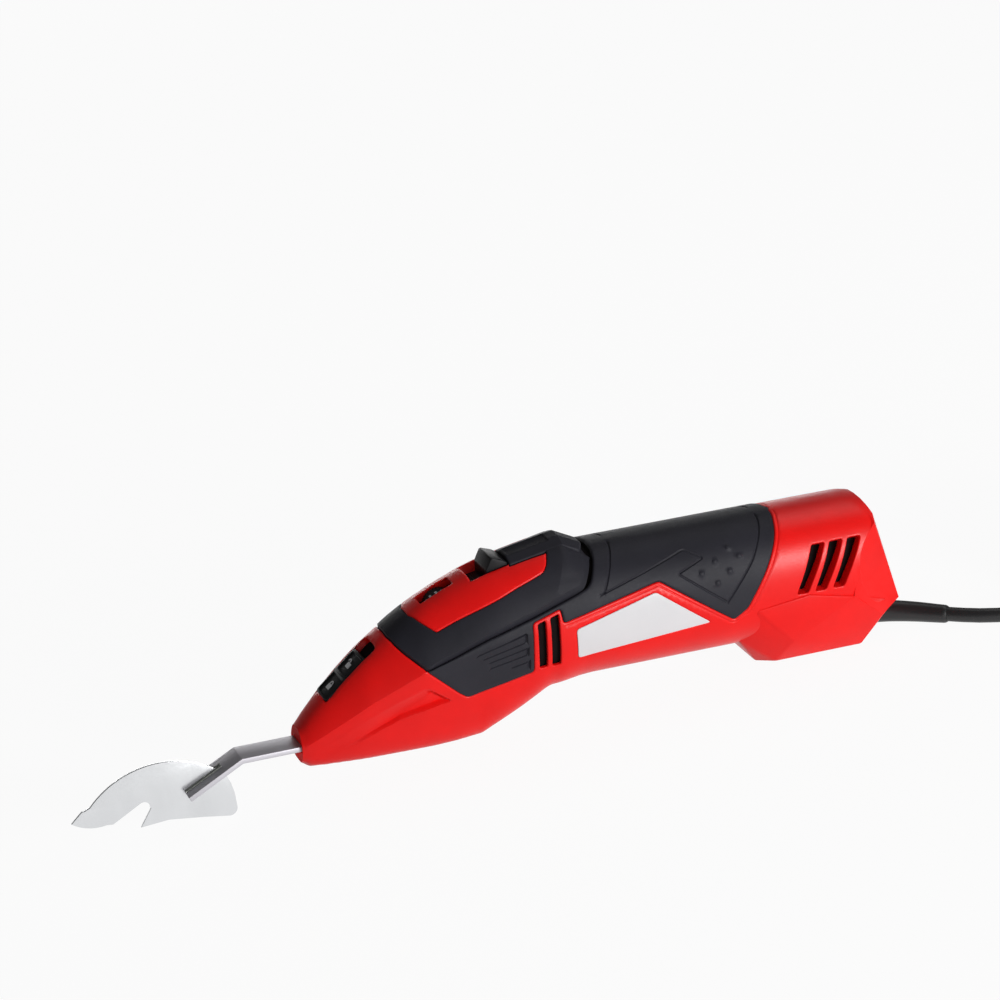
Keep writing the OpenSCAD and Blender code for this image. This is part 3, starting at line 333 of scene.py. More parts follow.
TAIL_STEPS = 9
LEAD_RUN = 13
TIE_ANGLE = 160
TIE_WIDTH = 9
TIE_THICK = 0.8
PLUG_HALF = 11
PLUG_THICK = 6.8
PIN_SIDE = 9.5
PIN_RUN = ((0, 2.4), (1, 2.4), (9, 2.4), (9.2, 2.25), (17.4, 2.25), (18.4, 1.9), (19, 0.9))


def coil_radius(turn):
    layer = min(math.floor(turn / LAYER_TURNS), LAYERS - 1)
    part = turn / LAYER_TURNS - layer
    return COIL_INNER + (COIL_OUTER - COIL_INNER) * (part if layer % 2 else 1 - part)


def coil_height(turn):
    layer = math.floor(turn / LAYER_TURNS + 0.5)
    near = turn - layer * LAYER_TURNS
    if layer == 0:
        return COIL_REST
    if layer == LAYERS:
        return COIL_REST + LAYER_RISE * (LAYERS - 1)
    return COIL_REST + LAYER_RISE * (layer - 0.5 + max(-CROSSING, min(CROSSING, near)) / (2 * CROSSING))


def loop_point(turn, r, z):
    a = math.radians(COIL_START + 360 * turn)
    return (COIL_MID[0] + r * math.cos(a), COIL_MID[1] + r * math.sin(a), z)


def tail_point(share):
    u = max(0.0, (share - 0.25) / 0.75)
    top = coil_height(COIL_TURNS)
    return loop_point(COIL_TURNS + share * TAIL_TURN, COIL_OUTER + TAIL_REACH * share,
                      top + (TAIL_LEVEL - top) * u * u * (3 - 2 * u))


def cord_path():
    way = (-math.sin(math.radians(COIL_START)), math.cos(math.radians(COIL_START)), 0)
    start = np.array(loop_point(0, coil_radius(0), coil_height(0)))
    lead = start - CORD_DIA * np.array(way)
    route = SLEEVE_ROUTE[1:] + CORD_ROUTE + [tuple(lead - LEAD_RUN * np.array(way)), tuple(lead)]
    turns = [i / TURN_STEPS for i in range(int(COIL_TURNS * TURN_STEPS) + 1)]
    coil = [loop_point(t, coil_radius(t), coil_height(t)) for t in turns]
    tail = [tail_point((i + 1) / TAIL_STEPS) for i in range(TAIL_STEPS)]
    heading = math.radians(COIL_START + 360 * (COIL_TURNS + TAIL_TURN) + 90)
    end = np.array(tail[-1]) + CORD_DIA * np.array((math.cos(heading), math.sin(heading), 0))
    return np.array(route + coil + tail + [tuple(end)]), heading


def smoothed(path, passes=2):
    """A path with its small corners eased, its ends kept."""
    path = np.array(path)
    for _ in range(passes):
        path[1:-1] = path[1:-1] * 0.5 + (path[:-2] + path[2:]) * 0.25
    return path


def sleeve_piece():
    route = resample_smooth(SLEEVE_ROUTE, 90)
    share = np.linspace(0, 1, len(route))
    radii = SLEEVE_RADII[0] + (SLEEVE_RADII[1] - SLEEVE_RADII[0]) * share
    radii = radii + 0.25 * np.clip(1 - share / 0.12, 0, 1) - 0.5 * np.clip((share - 0.965) / 0.035, 0, 1) ** 2
    return add_piece("cord_sleeve", tube(route, radii, 28), SHEATH, replaces=["sleeve"],
                     limit_deg=30, in_frame=True)


def resample_smooth(route, count):
    """Even points on a smooth curve through a route."""
    route = np.asarray(route, float)
    padded = np.concatenate([[2 * route[0] - route[1]], route, [2 * route[-1] - route[-2]]])
    out = []
    for i in range(len(route) - 1):
        a, b, c, d = padded[i:i + 4]
        for t in np.linspace(0, 1, 12, endpoint=False):
            out.append(0.5 * (2 * b + (c - a) * t + (2 * a - 5 * b + 4 * c - d) * t * t
                              + (3 * b - a - 3 * c + d) * t ** 3))
    out = np.array(out + [route[-1]])
    run = np.concatenate([[0], np.cumsum(np.linalg.norm(np.diff(out, axis=0), axis=1))])
    even = np.linspace(0, run[-1], count)
    return np.stack([np.interp(even, run, out[:, k]) for k in range(3)], -1)


def tie_piece():
    """A strap round the coil."""
    low = COIL_INNER - CORD_DIA / 2 - 0.6
    high = COIL_OUTER + CORD_DIA / 2 + 0.6
    top = coil_height(COIL_TURNS) + CORD_DIA / 2 + 0.1
    mid = TIE_THICK / 2
    ring = round_loop([(low - mid, mid), (high + mid, mid), (high + mid, top + mid), (low - mid, top + mid)],
                      2.6, 1.0)
    ways = np.roll(ring, -1, 0) - np.roll(ring, 1, 0)
    out = np.stack([ways[:, 1], -ways[:, 0]], 1) / np.linalg.norm(ways, axis=1, keepdims=True)
    edge = TIE_WIDTH / 2
    profile = [(-edge, -0.3), (-edge + 0.4, -mid), (edge - 0.4, -mid), (edge, -0.3), (edge, 0.3), (edge - 0.4, mid),
               (-edge + 0.4, mid), (-edge, 0.3)]
    c, s = math.cos(math.radians(TIE_ANGLE)), math.sin(math.radians(TIE_ANGLE))
    points = []
    for (r, z), (nr, nz) in zip(ring, out):
        for side, lift in profile:
            a = r + nr * lift
            points.append((COIL_MID[0] + a * c - side * s, COIL_MID[1] + a * s + side * c, z + nz * lift))
    n, m = len(ring), len(profile)
    faces = [(i * m + j, ((i + 1) % n) * m + j, ((i + 1) % n) * m + (j + 1) % m, i * m + (j + 1) % m)
             for i in range(n) for j in range(m)]
    return add_piece("coil_tie", (points, faces), SHEATH, replaces=["cord_tie"],
                     limit_deg=35, in_frame=True)


def plug_piece(end, heading):
    """Plug body with a ribbed neck, and its two pins."""
    c, s = math.cos(heading), math.sin(heading)

    def at(points):
        return [(end[0] + a * c - b * s, end[1] + a * s + b * c, end[2] + h) for a, b, h in points]

    share = np.linspace(0, 1, 60)
    radii = 4.4 + share - np.where(((share * 5) % 1 < 0.35) & (share > 0.15) & (share < 0.9), 0.5, 0)
    neck = tube([(14 * u, 0, 0) for u in share], radii, 28)
    angles = np.linspace(0, 2 * math.pi, 25)[:-1]
    solid = [(12, 5.4 * math.cos(a), 5.4 * math.sin(a)) for a in angles]
    for along in (24, 40):
        for side in (-PLUG_HALF, PLUG_HALF):
            solid += [(along, side + PLUG_THICK * math.cos(a), PLUG_THICK * math.sin(a)) for a in angles]
    body = hull(solid, 0.9)
    pile = Pile().add(at(neck[0]), neck[1]).add(at(body[0]), body[1])
    plug = add_piece("plug_body", pile, SHEATH, replaces=["plug"], limit_deg=35, in_frame=True)
    pins = Pile()
    for side in (-PIN_SIDE, PIN_SIDE):
        shaft = tube([(40 + a, side, 0) for a, _ in PIN_RUN], [r for _, r in PIN_RUN], 24)
        pins.add(at(shaft[0]), shaft[1])
    return [plug, add_piece("plug_contacts", pins, STEEL, replaces=["plug_pins"], limit_deg=30,
                            in_frame=True)]


def mains_cord():
    path, heading = cord_path()
    path = smoothed(path)
    piece = add_piece("mains_cord", tube(path, CORD_DIA / 2, 20), SHEATH, replaces=["cord", "cord_coil"],
                      in_frame=True)
    others = [sleeve_piece(), tie_piece()] + plug_piece(path[-1], heading)


# Paths and outlines.

def resample(path, step, closed=False):
    """Points at even distances along a path, its corners kept."""
    path = [np.asarray(p, float) for p in path]
    if closed:
        path = path + [path[0]]
    out = []
    for a, b in zip(path[:-1], path[1:]):
        count = max(1, int(math.ceil(np.linalg.norm(b - a) / step)))
        out.extend(a + (b - a) * i / count for i in range(count))
    if not closed:
        out.append(path[-1])
    return np.array(out)


def eased_corners(path, radius, closed=False):
    """A path whose corners are rounded."""
    path = [np.asarray(p, float) for p in path]
    count = len(path)
    out = []
    for i, p in enumerate(path):
        if not closed and i in (0, count - 1):
            out.append(p)
            continue
        a, b = path[i - 1] - p, path[(i + 1) % count] - p
        reach = min(radius, 0.45 * np.linalg.norm(a), 0.45 * np.linalg.norm(b))
        start, end = p + a / np.linalg.norm(a) * reach, p + b / np.linalg.norm(b) * reach
        for t in np.linspace(0, 1, 6):
            out.append((1 - t) ** 2 * start + 2 * t * (1 - t) * p + t * t * end)
    return np.array(out)


def round_loop(corners, radius, step):
    """A closed path with rounded corners, at even distances."""
    return resample(eased_corners(corners, radius, closed=True), step, closed=True)


def rect_loop(start, end, half, radius, step):
    return round_loop([(start, -half), (end, -half), (end, half), (start, half)], radius, step)


def arc(mid, r, start, end, steps):
    """Points on an arc, with angles in degrees."""
    angles = np.radians(np.linspace(start, end, steps + 1))
    return [(mid[0] + r * math.cos(a), mid[1] + r * math.sin(a)) for a in angles]


def closed_path(loop):
    return np.concatenate([loop, loop[:1]])


def inside(points, loops):
    """Whether each point lies in the area between the loops, by crossings."""
    x, y = points[:, 0], points[:, 1]
    odd = np.zeros(len(points), bool)
    for loop in loops:
        for (ax, ay), (bx, by) in zip(loop, np.roll(loop, -1, axis=0)):
            if ay == by:
                continue
            across = ((ay > y) != (by > y)) & (x < (bx - ax) * (y - ay) / (by - ay) + ax)
            odd ^= across
    return odd


def distances(points, path):
    """Distance of each point from a path."""
    dense = resample(path, 0.12)
    tree = KDTree(len(dense))
    for i, p in enumerate(dense):
        tree.insert((p[0], p[1], 0), i)
    tree.balance()
    return np.array([tree.find((p[0], p[1], 0))[2] for p in points])


mains_cord()

# The body's outer skin, on the same lines as its solid.
HALF_WIDTH = 26.5
GRIP_MID = 39.5
BODY_END = 286
EASE_REACH = 3.0
TOP_LINE = [(0, 7.5), (3, 11.9), (12.5, 21.9), (22, 30.5), (32, 38.4), (38, 42.6), (48.5, 49.6), (60, 55.9),
            (72, 61.1), (84, 65.1), (92, 67.1), (112, 69.3), (268, 69.5), (272, 69), (276, 67.1), (BODY_END, 58.5)]
SIDE_LINE = [(0, 8.6), (1, 9.4), (3, 10.3), (8, 12), (28, 18.6), (55, 25), (70, 26), (90, 26.7), (130, 26.7),
             (140, HALF_WIDTH), (BODY_END, HALF_WIDTH)]
CREASE_LINE = [(0, 1), (8, 5.8), (30, 20), (55, 33), (70, 37), (90, 40.5), (110, 41), (140, GRIP_MID),
               (BODY_END, GRIP_MID)]
LOW_LINE = [(0, -7.5), (3, -9.6), (30, -10.2), (60, -9.7), (82, -8.4), (100, 0.2), (115, 8), (136, 9.5), (266, 9.5),
            (274, 11.5), (280, 16.5), (BODY_END, 24.5)]
ROOF_POWER = [(0, 3), (30, 3), (60, 2.5), (140, 2.4)]
ROOF_ROOT = [(0, 1), (70, 1), (136, 2.4)]
SIDE_POWER = [(0, 4), (8, 6), (70, 7), (88, 5), (112, 3), (130, 2.4)]
SIDE_TAPER = [(0, 0.15), (10, 0.22), (30, 0.33), (55, 0.38), (80, 0.36), (100, 0.2), (120, 0)]
CORNER_WAY = (0.4165, 0.908, 0.042)
CORNER_REACH = HALF_WIDTH * CORNER_WAY[1] + 111.5


def rear_plane(z):
    return 274 + 0.337 * (61 - z)


def table(x, rows):
    rows = np.asarray(rows, float)
    return np.interp(x, rows[:, 0], rows[:, 1])


def eased(x, rows, reach=EASE_REACH):
    """A table's value, rounded off over a short reach."""
    taps = np.linspace(-1, 1, 9)
    weights = 1.15 - np.abs(taps)
    return sum(w * table(x + t * reach, rows) for t, w in zip(taps, weights)) / weights.sum()


def half_section(x):
    """Y and Z from the top line round to the bottom line of the section at x."""
    top, width, crease = (float(eased(x, rows)) for rows in (TOP_LINE, SIDE_LINE, CREASE_LINE))
    low = float(eased(x, LOW_LINE, 0.6))
    s = np.sin(np.linspace(0, math.pi / 2, 140))
    roof = np.clip(1 - s ** table(x, ROOF_POWER), 0, 1) ** (1 / table(x, ROOF_ROOT))
    a = np.linspace(0, math.pi / 2, 180)[1:]
    power = table(x, SIDE_POWER)
    size = (np.cos(a) ** power + np.sin(a) ** power) ** (-1 / power)
    reach, drop = np.cos(a) * size, np.sin(a) * size
    y = np.concatenate([width * s, width * reach * (1 - drop * table(x, SIDE_TAPER))])
    z = np.concatenate([crease + (top - crease) * roof, crease - (crease - low) * drop])
    return y, z


class Skin:
    """The body's surface, by X and by distance round the section from the top line (near side below 0)."""

    STEP = 0.5
    COUNT = 420

    def __init__(self):
        self.xs = np.arange(0, BODY_END + self.STEP / 2, self.STEP)
        self.y = np.zeros((len(self.xs), self.COUNT))
        self.z = np.zeros((len(self.xs), self.COUNT))
        self.reach = np.zeros(len(self.xs))
        for i, x in enumerate(self.xs):
            y, z = half_section(x)
            run = np.concatenate([[0], np.cumsum(np.hypot(np.diff(y), np.diff(z)))])
            even = np.linspace(0, run[-1], self.COUNT)
            self.y[i] = np.interp(even, run, y)
            self.z[i] = np.interp(even, run, z)
            self.reach[i] = run[-1]

    def reach_at(self, x):
        return np.interp(x, self.xs, self.reach)

    def point(self, x, turn):
        x = np.asarray(x, float)
        turn = np.asarray(turn, float)
        reach = self.reach_at(x)
        side = np.where(turn < 0, -1.0, 1.0)
        way = np.abs(turn)
        past = way > reach
        side = np.where(past, -side, side)
        way = np.where(past, 2 * reach - way, way)
        row = np.clip(x / self.STEP, 0, len(self.xs) - 1.001)
        col = np.clip(way / reach * (self.COUNT - 1), 0, self.COUNT - 1.001)
        i, j = row.astype(int), col.astype(int)
        f, g = row - i, col - j

        def mix(grid):
            return ((grid[i, j] * (1 - g) + grid[i, j + 1] * g) * (1 - f)
                    + (grid[i + 1, j] * (1 - g) + grid[i + 1, j + 1] * g) * f)

        return np.stack([x, side * mix(self.y), mix(self.z)], -1)

    def normal(self, x, turn, reach=0.6):
        low_x, high_x = np.clip(x - reach, 0, BODY_END), np.clip(x + reach, 0, BODY_END)
        along = self.point(high_x, turn) - self.point(low_x, turn)
        round_ = self.point(x, turn + reach) - self.point(x, turn - reach)
        n = np.cross(along, round_)
        return n / np.maximum(np.linalg.norm(n, axis=-1, keepdims=True), TINY)

    def turn_at(self, x, z):
        """Distance round to height z on the near side, as a number of 0 or less."""
        row = min(max(x / self.STEP, 0), len(self.xs) - 1.001)
        i, f = int(row), row - int(row)
        found = [np.interp(-z, -self.z[k], np.linspace(0, self.reach[k], self.COUNT)) for k in (i, i + 1)]
        return -(found[0] * (1 - f) + found[1] * f)

    def turn_out(self, x, y):
        """Distance round to y on the near side of the roof, as a number of 0 or less."""
        k = int(round(x / self.STEP))
        widest = int(np.argmax(self.y[k]))
        return -np.interp(y, self.y[k][:widest + 1], np.linspace(0, self.reach[k], self.COUNT)[:widest + 1])

    def on_side(self, points):
        return np.array([(x, self.turn_at(x, z)) for x, z in points])

    def side_path(self, outline, radius=0.0, step=0.6):
        """A path on the near side from points in X and Z."""
        path = eased_corners(outline, radius) if radius else outline
        return self.on_side(resample(path, step))

    def side_loop(self, outline, radius, step=0.5):
        """A closed path on the near side from points in X and Z."""
        return self.on_side(round_loop(outline, radius, step))


class Flat:
    """A plane with its own two axes, used as a surface."""

    def __init__(self, origin, along, across):
        self.origin, self.along, self.across = (np.asarray(v, float) for v in (origin, along, across))
        self.up = np.cross(self.along, self.across)

    def point(self, a, b):
        return self.origin + np.outer(a, self.along) + np.outer(b, self.across)

    def normal(self, a, b):
        return np.tile(self.up, (len(a), 1))


# A rim falls to its floor over its radius, round or as a flat chamfer; a recess is sunk inside its loop.
Rim = namedtuple("Rim", "path radius floor flat", defaults=(False,))
Groove = namedtuple("Groove", "path half depth")
Bump = namedtuple("Bump", "at radius height")
Recess = namedtuple("Recess", "loop wall depth")


def mirrored(path):
    """The same path on the far side, run the other way."""
    return np.asarray(path)[::-1] * np.array([1, -1])


def both_sides(path):
    """A loop from a near-side path that starts and ends on the top line."""
    return np.concatenate([path, mirrored(path)[1:-1]])


def rows_beside(path, offsets):
    """Points on rows beside a path, each row at one distance or at one for each point."""
    path = np.asarray(path, float)
    way = np.gradient(path, axis=0)
    way /= np.maximum(np.linalg.norm(way, axis=1, keepdims=True), TINY)
    square = np.stack([-way[:, 1], way[:, 0]], 1)
    return np.concatenate([path + square * np.broadcast_to(d, len(path))[:, None] for d in offsets])


def value(setting, *at):
    """A setting that is a number, or a function of the place."""
    return setting(*at) if callable(setting) else setting


def region(surface, loops, spacing, base=0.0, rims=(), grooves=(), bumps=(), lines=(), recesses=()):
    """Triangles over the area between loops on a surface, with rims, grooves, bumps and recesses in their height."""
    fixed, links = [], []
    for path, closed in [(loop, True) for loop in loops] + [(line, False) for line in lines]:
        start = len(fixed)
        fixed.extend(path)
        count = len(path)
        links.extend((start + i, start + (i + 1) % count) for i in range(count if closed else count - 1))
    hard_from = sum(len(loop) for loop in loops)
    fixed = np.array(fixed)
    extra = []
    for rim in rims:
        r = value(rim.radius, np.asarray(rim.path)[:, 0])
        steps = (0.12, 0.5, 1.0) if rim.flat else (0.1, 0.3, 0.62, 1.02)
        extra.append(rows_beside(rim.path, [s * f * r for f in steps for s in (-1, 1)]))
    for groove in grooves:
        extra.append(rows_beside(groove.path, [f * groove.half for f in (-1.1, -0.6, -0.25, 0.25, 0.6, 1.1)]))
        extra.append(np.asarray(groove.path))
    for bump in bumps:
        extra += [ring_loop(*bump.at, r * bump.radius, 13) for r in (0.01, 0.4, 0.75, 1.0)]
    for recess in recesses:
        steps = (-1, -0.5, -0.02, 0.02, 0.5, 1)
        extra.append(rows_beside(closed_path(recess.loop), [f * recess.wall for f in steps]))
    low, high = fixed.min(0), fixed.max(0)
    rows = np.arange(low[1], high[1], spacing * 0.866)
    grid = np.array([(x + (k % 2) * spacing / 2, y) for k, y in enumerate(rows)
                     for x in np.arange(low[0], high[0], spacing)])
    grid = grid[inside(grid, loops)]
    crowded = [(closed_path(loop), 0.45 * spacing) for loop in loops]
    crowded += [(rim.path, 1.25 * value(rim.radius, grid[:, 0])) for rim in rims]
    crowded += [(groove.path, 1.5 * groove.half) for groove in grooves]
    crowded += [(closed_path(recess.loop), 1.4 * recess.wall) for recess in recesses]
    keep = np.all([distances(grid, path) > room for path, room in crowded], axis=0)
    for bump in bumps:
        keep &= np.hypot(*(grid - np.array(bump.at)).T) > 1.3 * bump.radius
    grid = grid[keep]
    if extra:
        near = np.concatenate(extra)
        near = near[inside(near, loops)]
        near = near[np.all([distances(near, closed_path(loop)) > 0.07 for loop in loops], axis=0)]
        _, first = np.unique(np.round(near / 0.09).astype(int), axis=0, return_index=True)
        grid = np.concatenate([near[np.sort(first)], grid])
    points = np.concatenate([fixed, grid])
    made = delaunay_2d_cdt([Vector(p) for p in points], links, [], 0, 1e-4)
    flat = np.array([tuple(p) for p in made[0]])
    faces = np.array([tuple(f) for f in made[2]])
    faces = faces[inside(flat[faces].mean(1), loops)]
    sharp = [edge for edge, origin in zip(made[1], made[4]) if any(i >= hard_from for i in origin)]
    a, b, c = (flat[faces[:, k]] for k in range(3))
    turned_over = np.cross(b - a, c - a) < 0
    faces[turned_over] = faces[turned_over][:, ::-1]
    height = np.zeros(len(flat)) + value(base, *flat.T)
    for recess in recesses:
        within = inside(flat, [np.asarray(recess.loop)])
        share = np.where(within, np.clip(distances(flat, closed_path(recess.loop)) / recess.wall, 0, 1), 0)
        height = height - value(recess.depth, flat) * share
    for rim in rims:
        floor = value(rim.floor, *flat.T)
        u = np.clip(distances(flat, rim.path) / value(rim.radius, flat[:, 0]), 0, 1)
        part = u if rim.flat else np.sqrt(1 - (1 - u) ** 2)
        height = np.where(part < 1, np.minimum(height, floor + (height - floor) * part), height)
    for groove in grooves:
        share = np.clip(1 - (distances(flat, groove.path) / groove.half) ** 2, 0, 1)
        height = height - groove.depth * share ** 1.5
    for bump in bumps:
        share = np.clip(1 - (np.hypot(*(flat - np.array(bump.at)).T) / bump.radius) ** 2, 0, 1)
        height = height + bump.height * share ** 0.7
    return surface.point(*flat.T) + surface.normal(*flat.T) * height[:, None], faces, sharp


def wall(surface, loop, top, bottom, closed=True):
    """A wall that goes down into a surface along a loop."""
    loop = np.asarray(loop)
    at, up = surface.point(*loop.T), surface.normal(*loop.T)
    count = len(loop)
    points = np.concatenate([at + up * top, at + up * bottom])
    faces = [(i, (i + 1) % count, count + (i + 1) % count, count + i) for i in range(count if closed else count - 1)]
    return points, faces


def raised(surface, loop, low, high):
    """A flat-topped form on a surface."""
    points, faces = wall(surface, loop, high, low)
    return points, [tuple(range(len(loop)))] + [face[::-1] for face in faces]


skin = Skin()


# Outlines seen from the side, in X and Z.
SEAM = [(50.2, 37), (55, 32.6), (60, 34.6), (70, 38), (83.8, 42.7), (105, 48.6), (116.6, 52.2), (126, 55),
        (131.6, 56.9), (134.1, 59), (135.9, 62.1), (140.3, 69.4)]
COVER_FRONT = [(43.9, 43.3), (46.5, 40.3), (50.2, 37)]
COVER_TIP_X = 42.4
COVER_END_X = 140.3
VENT_FRAME = [(104.6, 22.6), (104.5, 46.4), (118, 50.6), (118.9, 43.8)]
GRIP_LOWER = [(55, 32.6), (56.4, 31.2), (70, 18.3), (73.8, 15.4)] + VENT_FRAME
GRIP_LOWER += [(165.6, 54.3), (201, 29), (207.7, 33.6), (217.6, 49.9), (223.2, 59.9), (227.6, 67.8), (229.4, 69.4)]
GRIP_END_X = 230.6
PANEL = [(55.3, 52.2), (58.2, 50.4), (62.3, 47.6), (73, 51.7), (100, 60.6), (113.6, 64.3), (116, 66)]
PANEL_ENDS_X = (53.9, 118)
LABEL = [(124.7, 39.8), (125.3, 25.6), (189.3, 30.5), (163.5, 49.8)]
LABEL_RADIUS = 1.6
FRONT_VENTS = [[(107.2, 23.6), (106.7, 45.6), (110.6, 46.8), (111, 24)],
               [(113.2, 23.6), (112.8, 47.3), (117, 48.6), (117.2, 24)]]
VENT_DEPTHS = (1.6, 1.6, 5.4, 5.4, 5.4)
REAR_VENTS = [[(x, 35.4), (x + 5.6, 35.2), (x + 15.6, 57.2), (x + 9.2, 57.2)] for x in (232, 241, 250)]
LOCK_SLOT = (12.1, 37.2, 7.55)
SCREWS = [(97, 14), (140, 15), (228, 56)]
GRIP_SCREW = (131, 49.5)
SCREW_BORE = 3.3
BORE_FLOOR = -11

COVER_LIFT = [(40, 0.3), (56, 0.6), (90, 1.4), (122, 2.6), (141.5, 1.6)]
GROOVE_FLOOR = -0.7
ARROW_FADE = [(54.7, 24.7), (42, 19.5), (26, 11.5), (8, 0.5), (7.2, -3.8)]
ARROW = [(66.5, 15.3)] + ARROW_FADE + [(23.6, 0.7), (42.6, 9.9), (60.7, 14.4)]
ARROW_DEPTH = 2.3


def grip_lower_path():
    return np.concatenate([skin.side_path(GRIP_LOWER, radius=1.6), [(GRIP_END_X, 0.0)]])


def cover_front_path():
    return np.concatenate([[(COVER_TIP_X, 0.0), (COVER_TIP_X, skin.turn_out(COVER_TIP_X, 6))],
                           skin.side_path(COVER_FRONT, radius=3)])


def seam_path():
    return np.concatenate([skin.side_path(SEAM, radius=2), [(COVER_END_X, 0.0)]])


def rear_edge():
    """Where the shell ends at the rear planes, from the top line down the near side."""
    path = [(rear_plane(69), 0.0)]
    for z in np.arange(68.5, 9.6, -1.5):
        x = min(rear_plane(z), BODY_END - 1)
        for _ in range(40):
            p = skin.point(x, skin.turn_at(x, z))
            over = CORNER_WAY[0] * x + CORNER_WAY[1] * abs(p[1]) + CORNER_WAY[2] * z - CORNER_REACH
            x = min(x - 0.6 * over / CORNER_WAY[0], rear_plane(z))
        path.append((x, skin.turn_at(x, z)))
    return np.array(path)


REAR_EDGE = rear_edge()


def red_loop():
    """The red shell's outline on the near side, round what lies on it."""
    start, end, half = LOCK_SLOT
    slot = eased_corners([(start, 0), (start, -half), (end, -half), (end, 0)], 2.2)
    top_front = resample([(0, 0), (start, 0)], 1.0)
    top_gap = resample([(end, 0), (COVER_TIP_X, 0)], 1.0)
    top_rear = resample([(GRIP_END_X, 0), REAR_EDGE[0]], 1.5)
    rear = resample(REAR_EDGE, 1.0)
    last = REAR_EDGE[-1][0]
    low = np.concatenate([REAR_EDGE[-1:], [(x, -skin.reach_at(x)) for x in np.arange(last - 1, -0.1, -1.5)],
                          [(0, -skin.reach_at(0))]])
    front = resample([(0, -skin.reach_at(0)), (0, 0)], 1.0)
    edge = np.concatenate([cover_front_path()[:-1], skin.side_path([(50.2, 37), (55, 32.6)])[:-1], grip_lower_path()])
    parts = [top_front, resample(slot, 0.6), top_gap, resample(edge, 0.7), top_rear, rear, low, front]
    loop = np.concatenate([p[:-1] for p in parts])
    return loop, resample(edge, 0.7), slot


def arrow_depth(flat):
    fade = skin.side_path(ARROW_FADE, step=1.0)
    return ARROW_DEPTH * np.clip(distances(flat, fade) / 7, 0, 1) * np.clip((flat[:, 0] - 6) / 46, 0, 1)


def ring_loop(x, turn, radius, steps=24):
    return np.array([(x + radius * math.cos(a), turn + radius * math.sin(a))
                     for a in np.linspace(0, 2 * math.pi, steps + 1)[:-1]])


def red_side(side):
    """One half of the red shell, with its slots and screw bores."""
    loop, edge, slot = red_loop()
    vents = [skin.side_loop(v, 1.0) for v in FRONT_VENTS] + [skin.side_loop(v, 1.1) for v in REAR_VENTS]
    bores = [ring_loop(x, skin.turn_at(x, z), SCREW_BORE) for x, z in SCREWS] if side > 0 else []
    rims = [Rim(edge, 0.9, GROOVE_FLOOR), Rim(slot, 0.6, -0.5)]
    rims += [Rim(closed_path(v), 0.55, -0.45) for v in vents]
    rims += [Rim(closed_path(v), 0.4, -0.3) for v in bores]
    bottom = np.array([(x, -skin.reach_at(x)) for x in np.arange(0, REAR_EDGE[-1][0], 1.5)])
    rims.append(Rim(bottom, 0.25, -0.2))
    rear_run = np.array([p for p in edge if p[0] > 120])
    bead = [p for p in rows_beside(rear_run, [-1.7]) if p[1] < -4]
    label = skin.side_loop(LABEL, LABEL_RADIUS)
    frame_side = skin.side_path([(261.5, 31), (264.3, 45), (270.8, 56.6)], radius=3)
    grooves = [Groove(np.array(bead), 0.5, 0.25), Groove(closed_path(label), 0.5, 0.22),
               Groove(frame_side, 0.6, 0.22)]
    crease = skin.side_path([(x, float(eased(x, CREASE_LINE))) for x in np.arange(2, 52.5, 2.5)], step=1.2)
    recess = Recess(skin.side_loop(ARROW, 0.6), 1.3, arrow_depth)
    pile = Pile().add(*region(skin, [loop] + vents + bores, 1.7, rims=rims, grooves=grooves, lines=[crease],
                              recesses=[recess]))
    pile.add(*wall(skin, slot, -0.5, -3.4, closed=False))
    for v, depth in zip(vents, VENT_DEPTHS):
        pile.add(*wall(skin, v, -0.45, -depth))
    for v in bores:
        pile.add(*wall(skin, v, -0.3, BORE_FLOOR))
    if side > 0:
        pile.mirror()
    name = "right_housing" if side > 0 else "left_housing"
    add_piece("shell_" + name[:-8], pile, RED, replaces=[name])


red_side(-1)
red_side(1)


# Near-black sheets behind the slots, inside the shell's wall: painted shade that keeps the slots dark.
def slot_shade_sheet(name, start, end, inset):
    xs = np.linspace(start, end, 12)
    turns = np.linspace(-1, 1, 60)
    points = []
    for x in xs:
        reach = skin.reach_at(x)
        at = skin.point(np.full(len(turns), x), turns * reach)
        points.extend(at - skin.normal(np.full(len(turns), x), turns * reach) * inset)
    n = len(turns)
    faces = [(i * n + j, i * n + j + 1, (i + 1) * n + j + 1, (i + 1) * n + j)
             for i in range(len(xs) - 1) for j in range(n - 1)]
    add_piece(name, (points, faces), PAINTED_SHADE)


slot_shade_sheet("front_slot_shade_sheet", 98, 123, 2.3)
slot_shade_sheet("rear_slot_shade_sheet", 224, 270, 5.5)


# Nose end with the slot for the shank.
SHANK_SLOT = (14.8, 3.2)


def nose_end():
    surface = Flat((0, 0, 0), (0, -1, 0), (0, 0, 1))
    y, z = half_section(0.0)
    ring = np.array([(-a, b) for a, b in zip(y, z)] + [(a, b) for a, b in zip(y[::-1], z[::-1])])
    ring = resample(ring[::6], 0.8, closed=True)
    half_w, half_h = SHANK_SLOT[0] / 2, SHANK_SLOT[1] / 2
    slot = rect_loop(-half_w, half_w, half_h, 0.6, 0.5)
    pile = Pile().add(*region(surface, [ring, slot], 1.0, rims=[Rim(closed_path(slot), 0.3, -0.3)]))
    pile.add(*wall(surface, slot, -0.3, BORE_FLOOR))
    add_piece("nose_end", pile, MATT_RED)


nose_end()


# The rear: the cap between the rear planes, and the block below.
BLOCK = [(217, 11, 0), (225, 16, 0), (FOOT_X, 16, 0), (231, 24, 12), (277, 21.8, 15.5), (217.5, 25.2, 24),
         (206, 17, 14.5), (212, 26.6, 31.6), (238, 27.2, 34.7), (260.5, 26.6, 29.5), REAR_TIP]
CAP_LOW = (260.5, 26.3, 29.3)
CAP_SWELL = 2.3


def both(points):
    return [(x, s * y, z) for x, y, z in points for s in (-1, 1)]


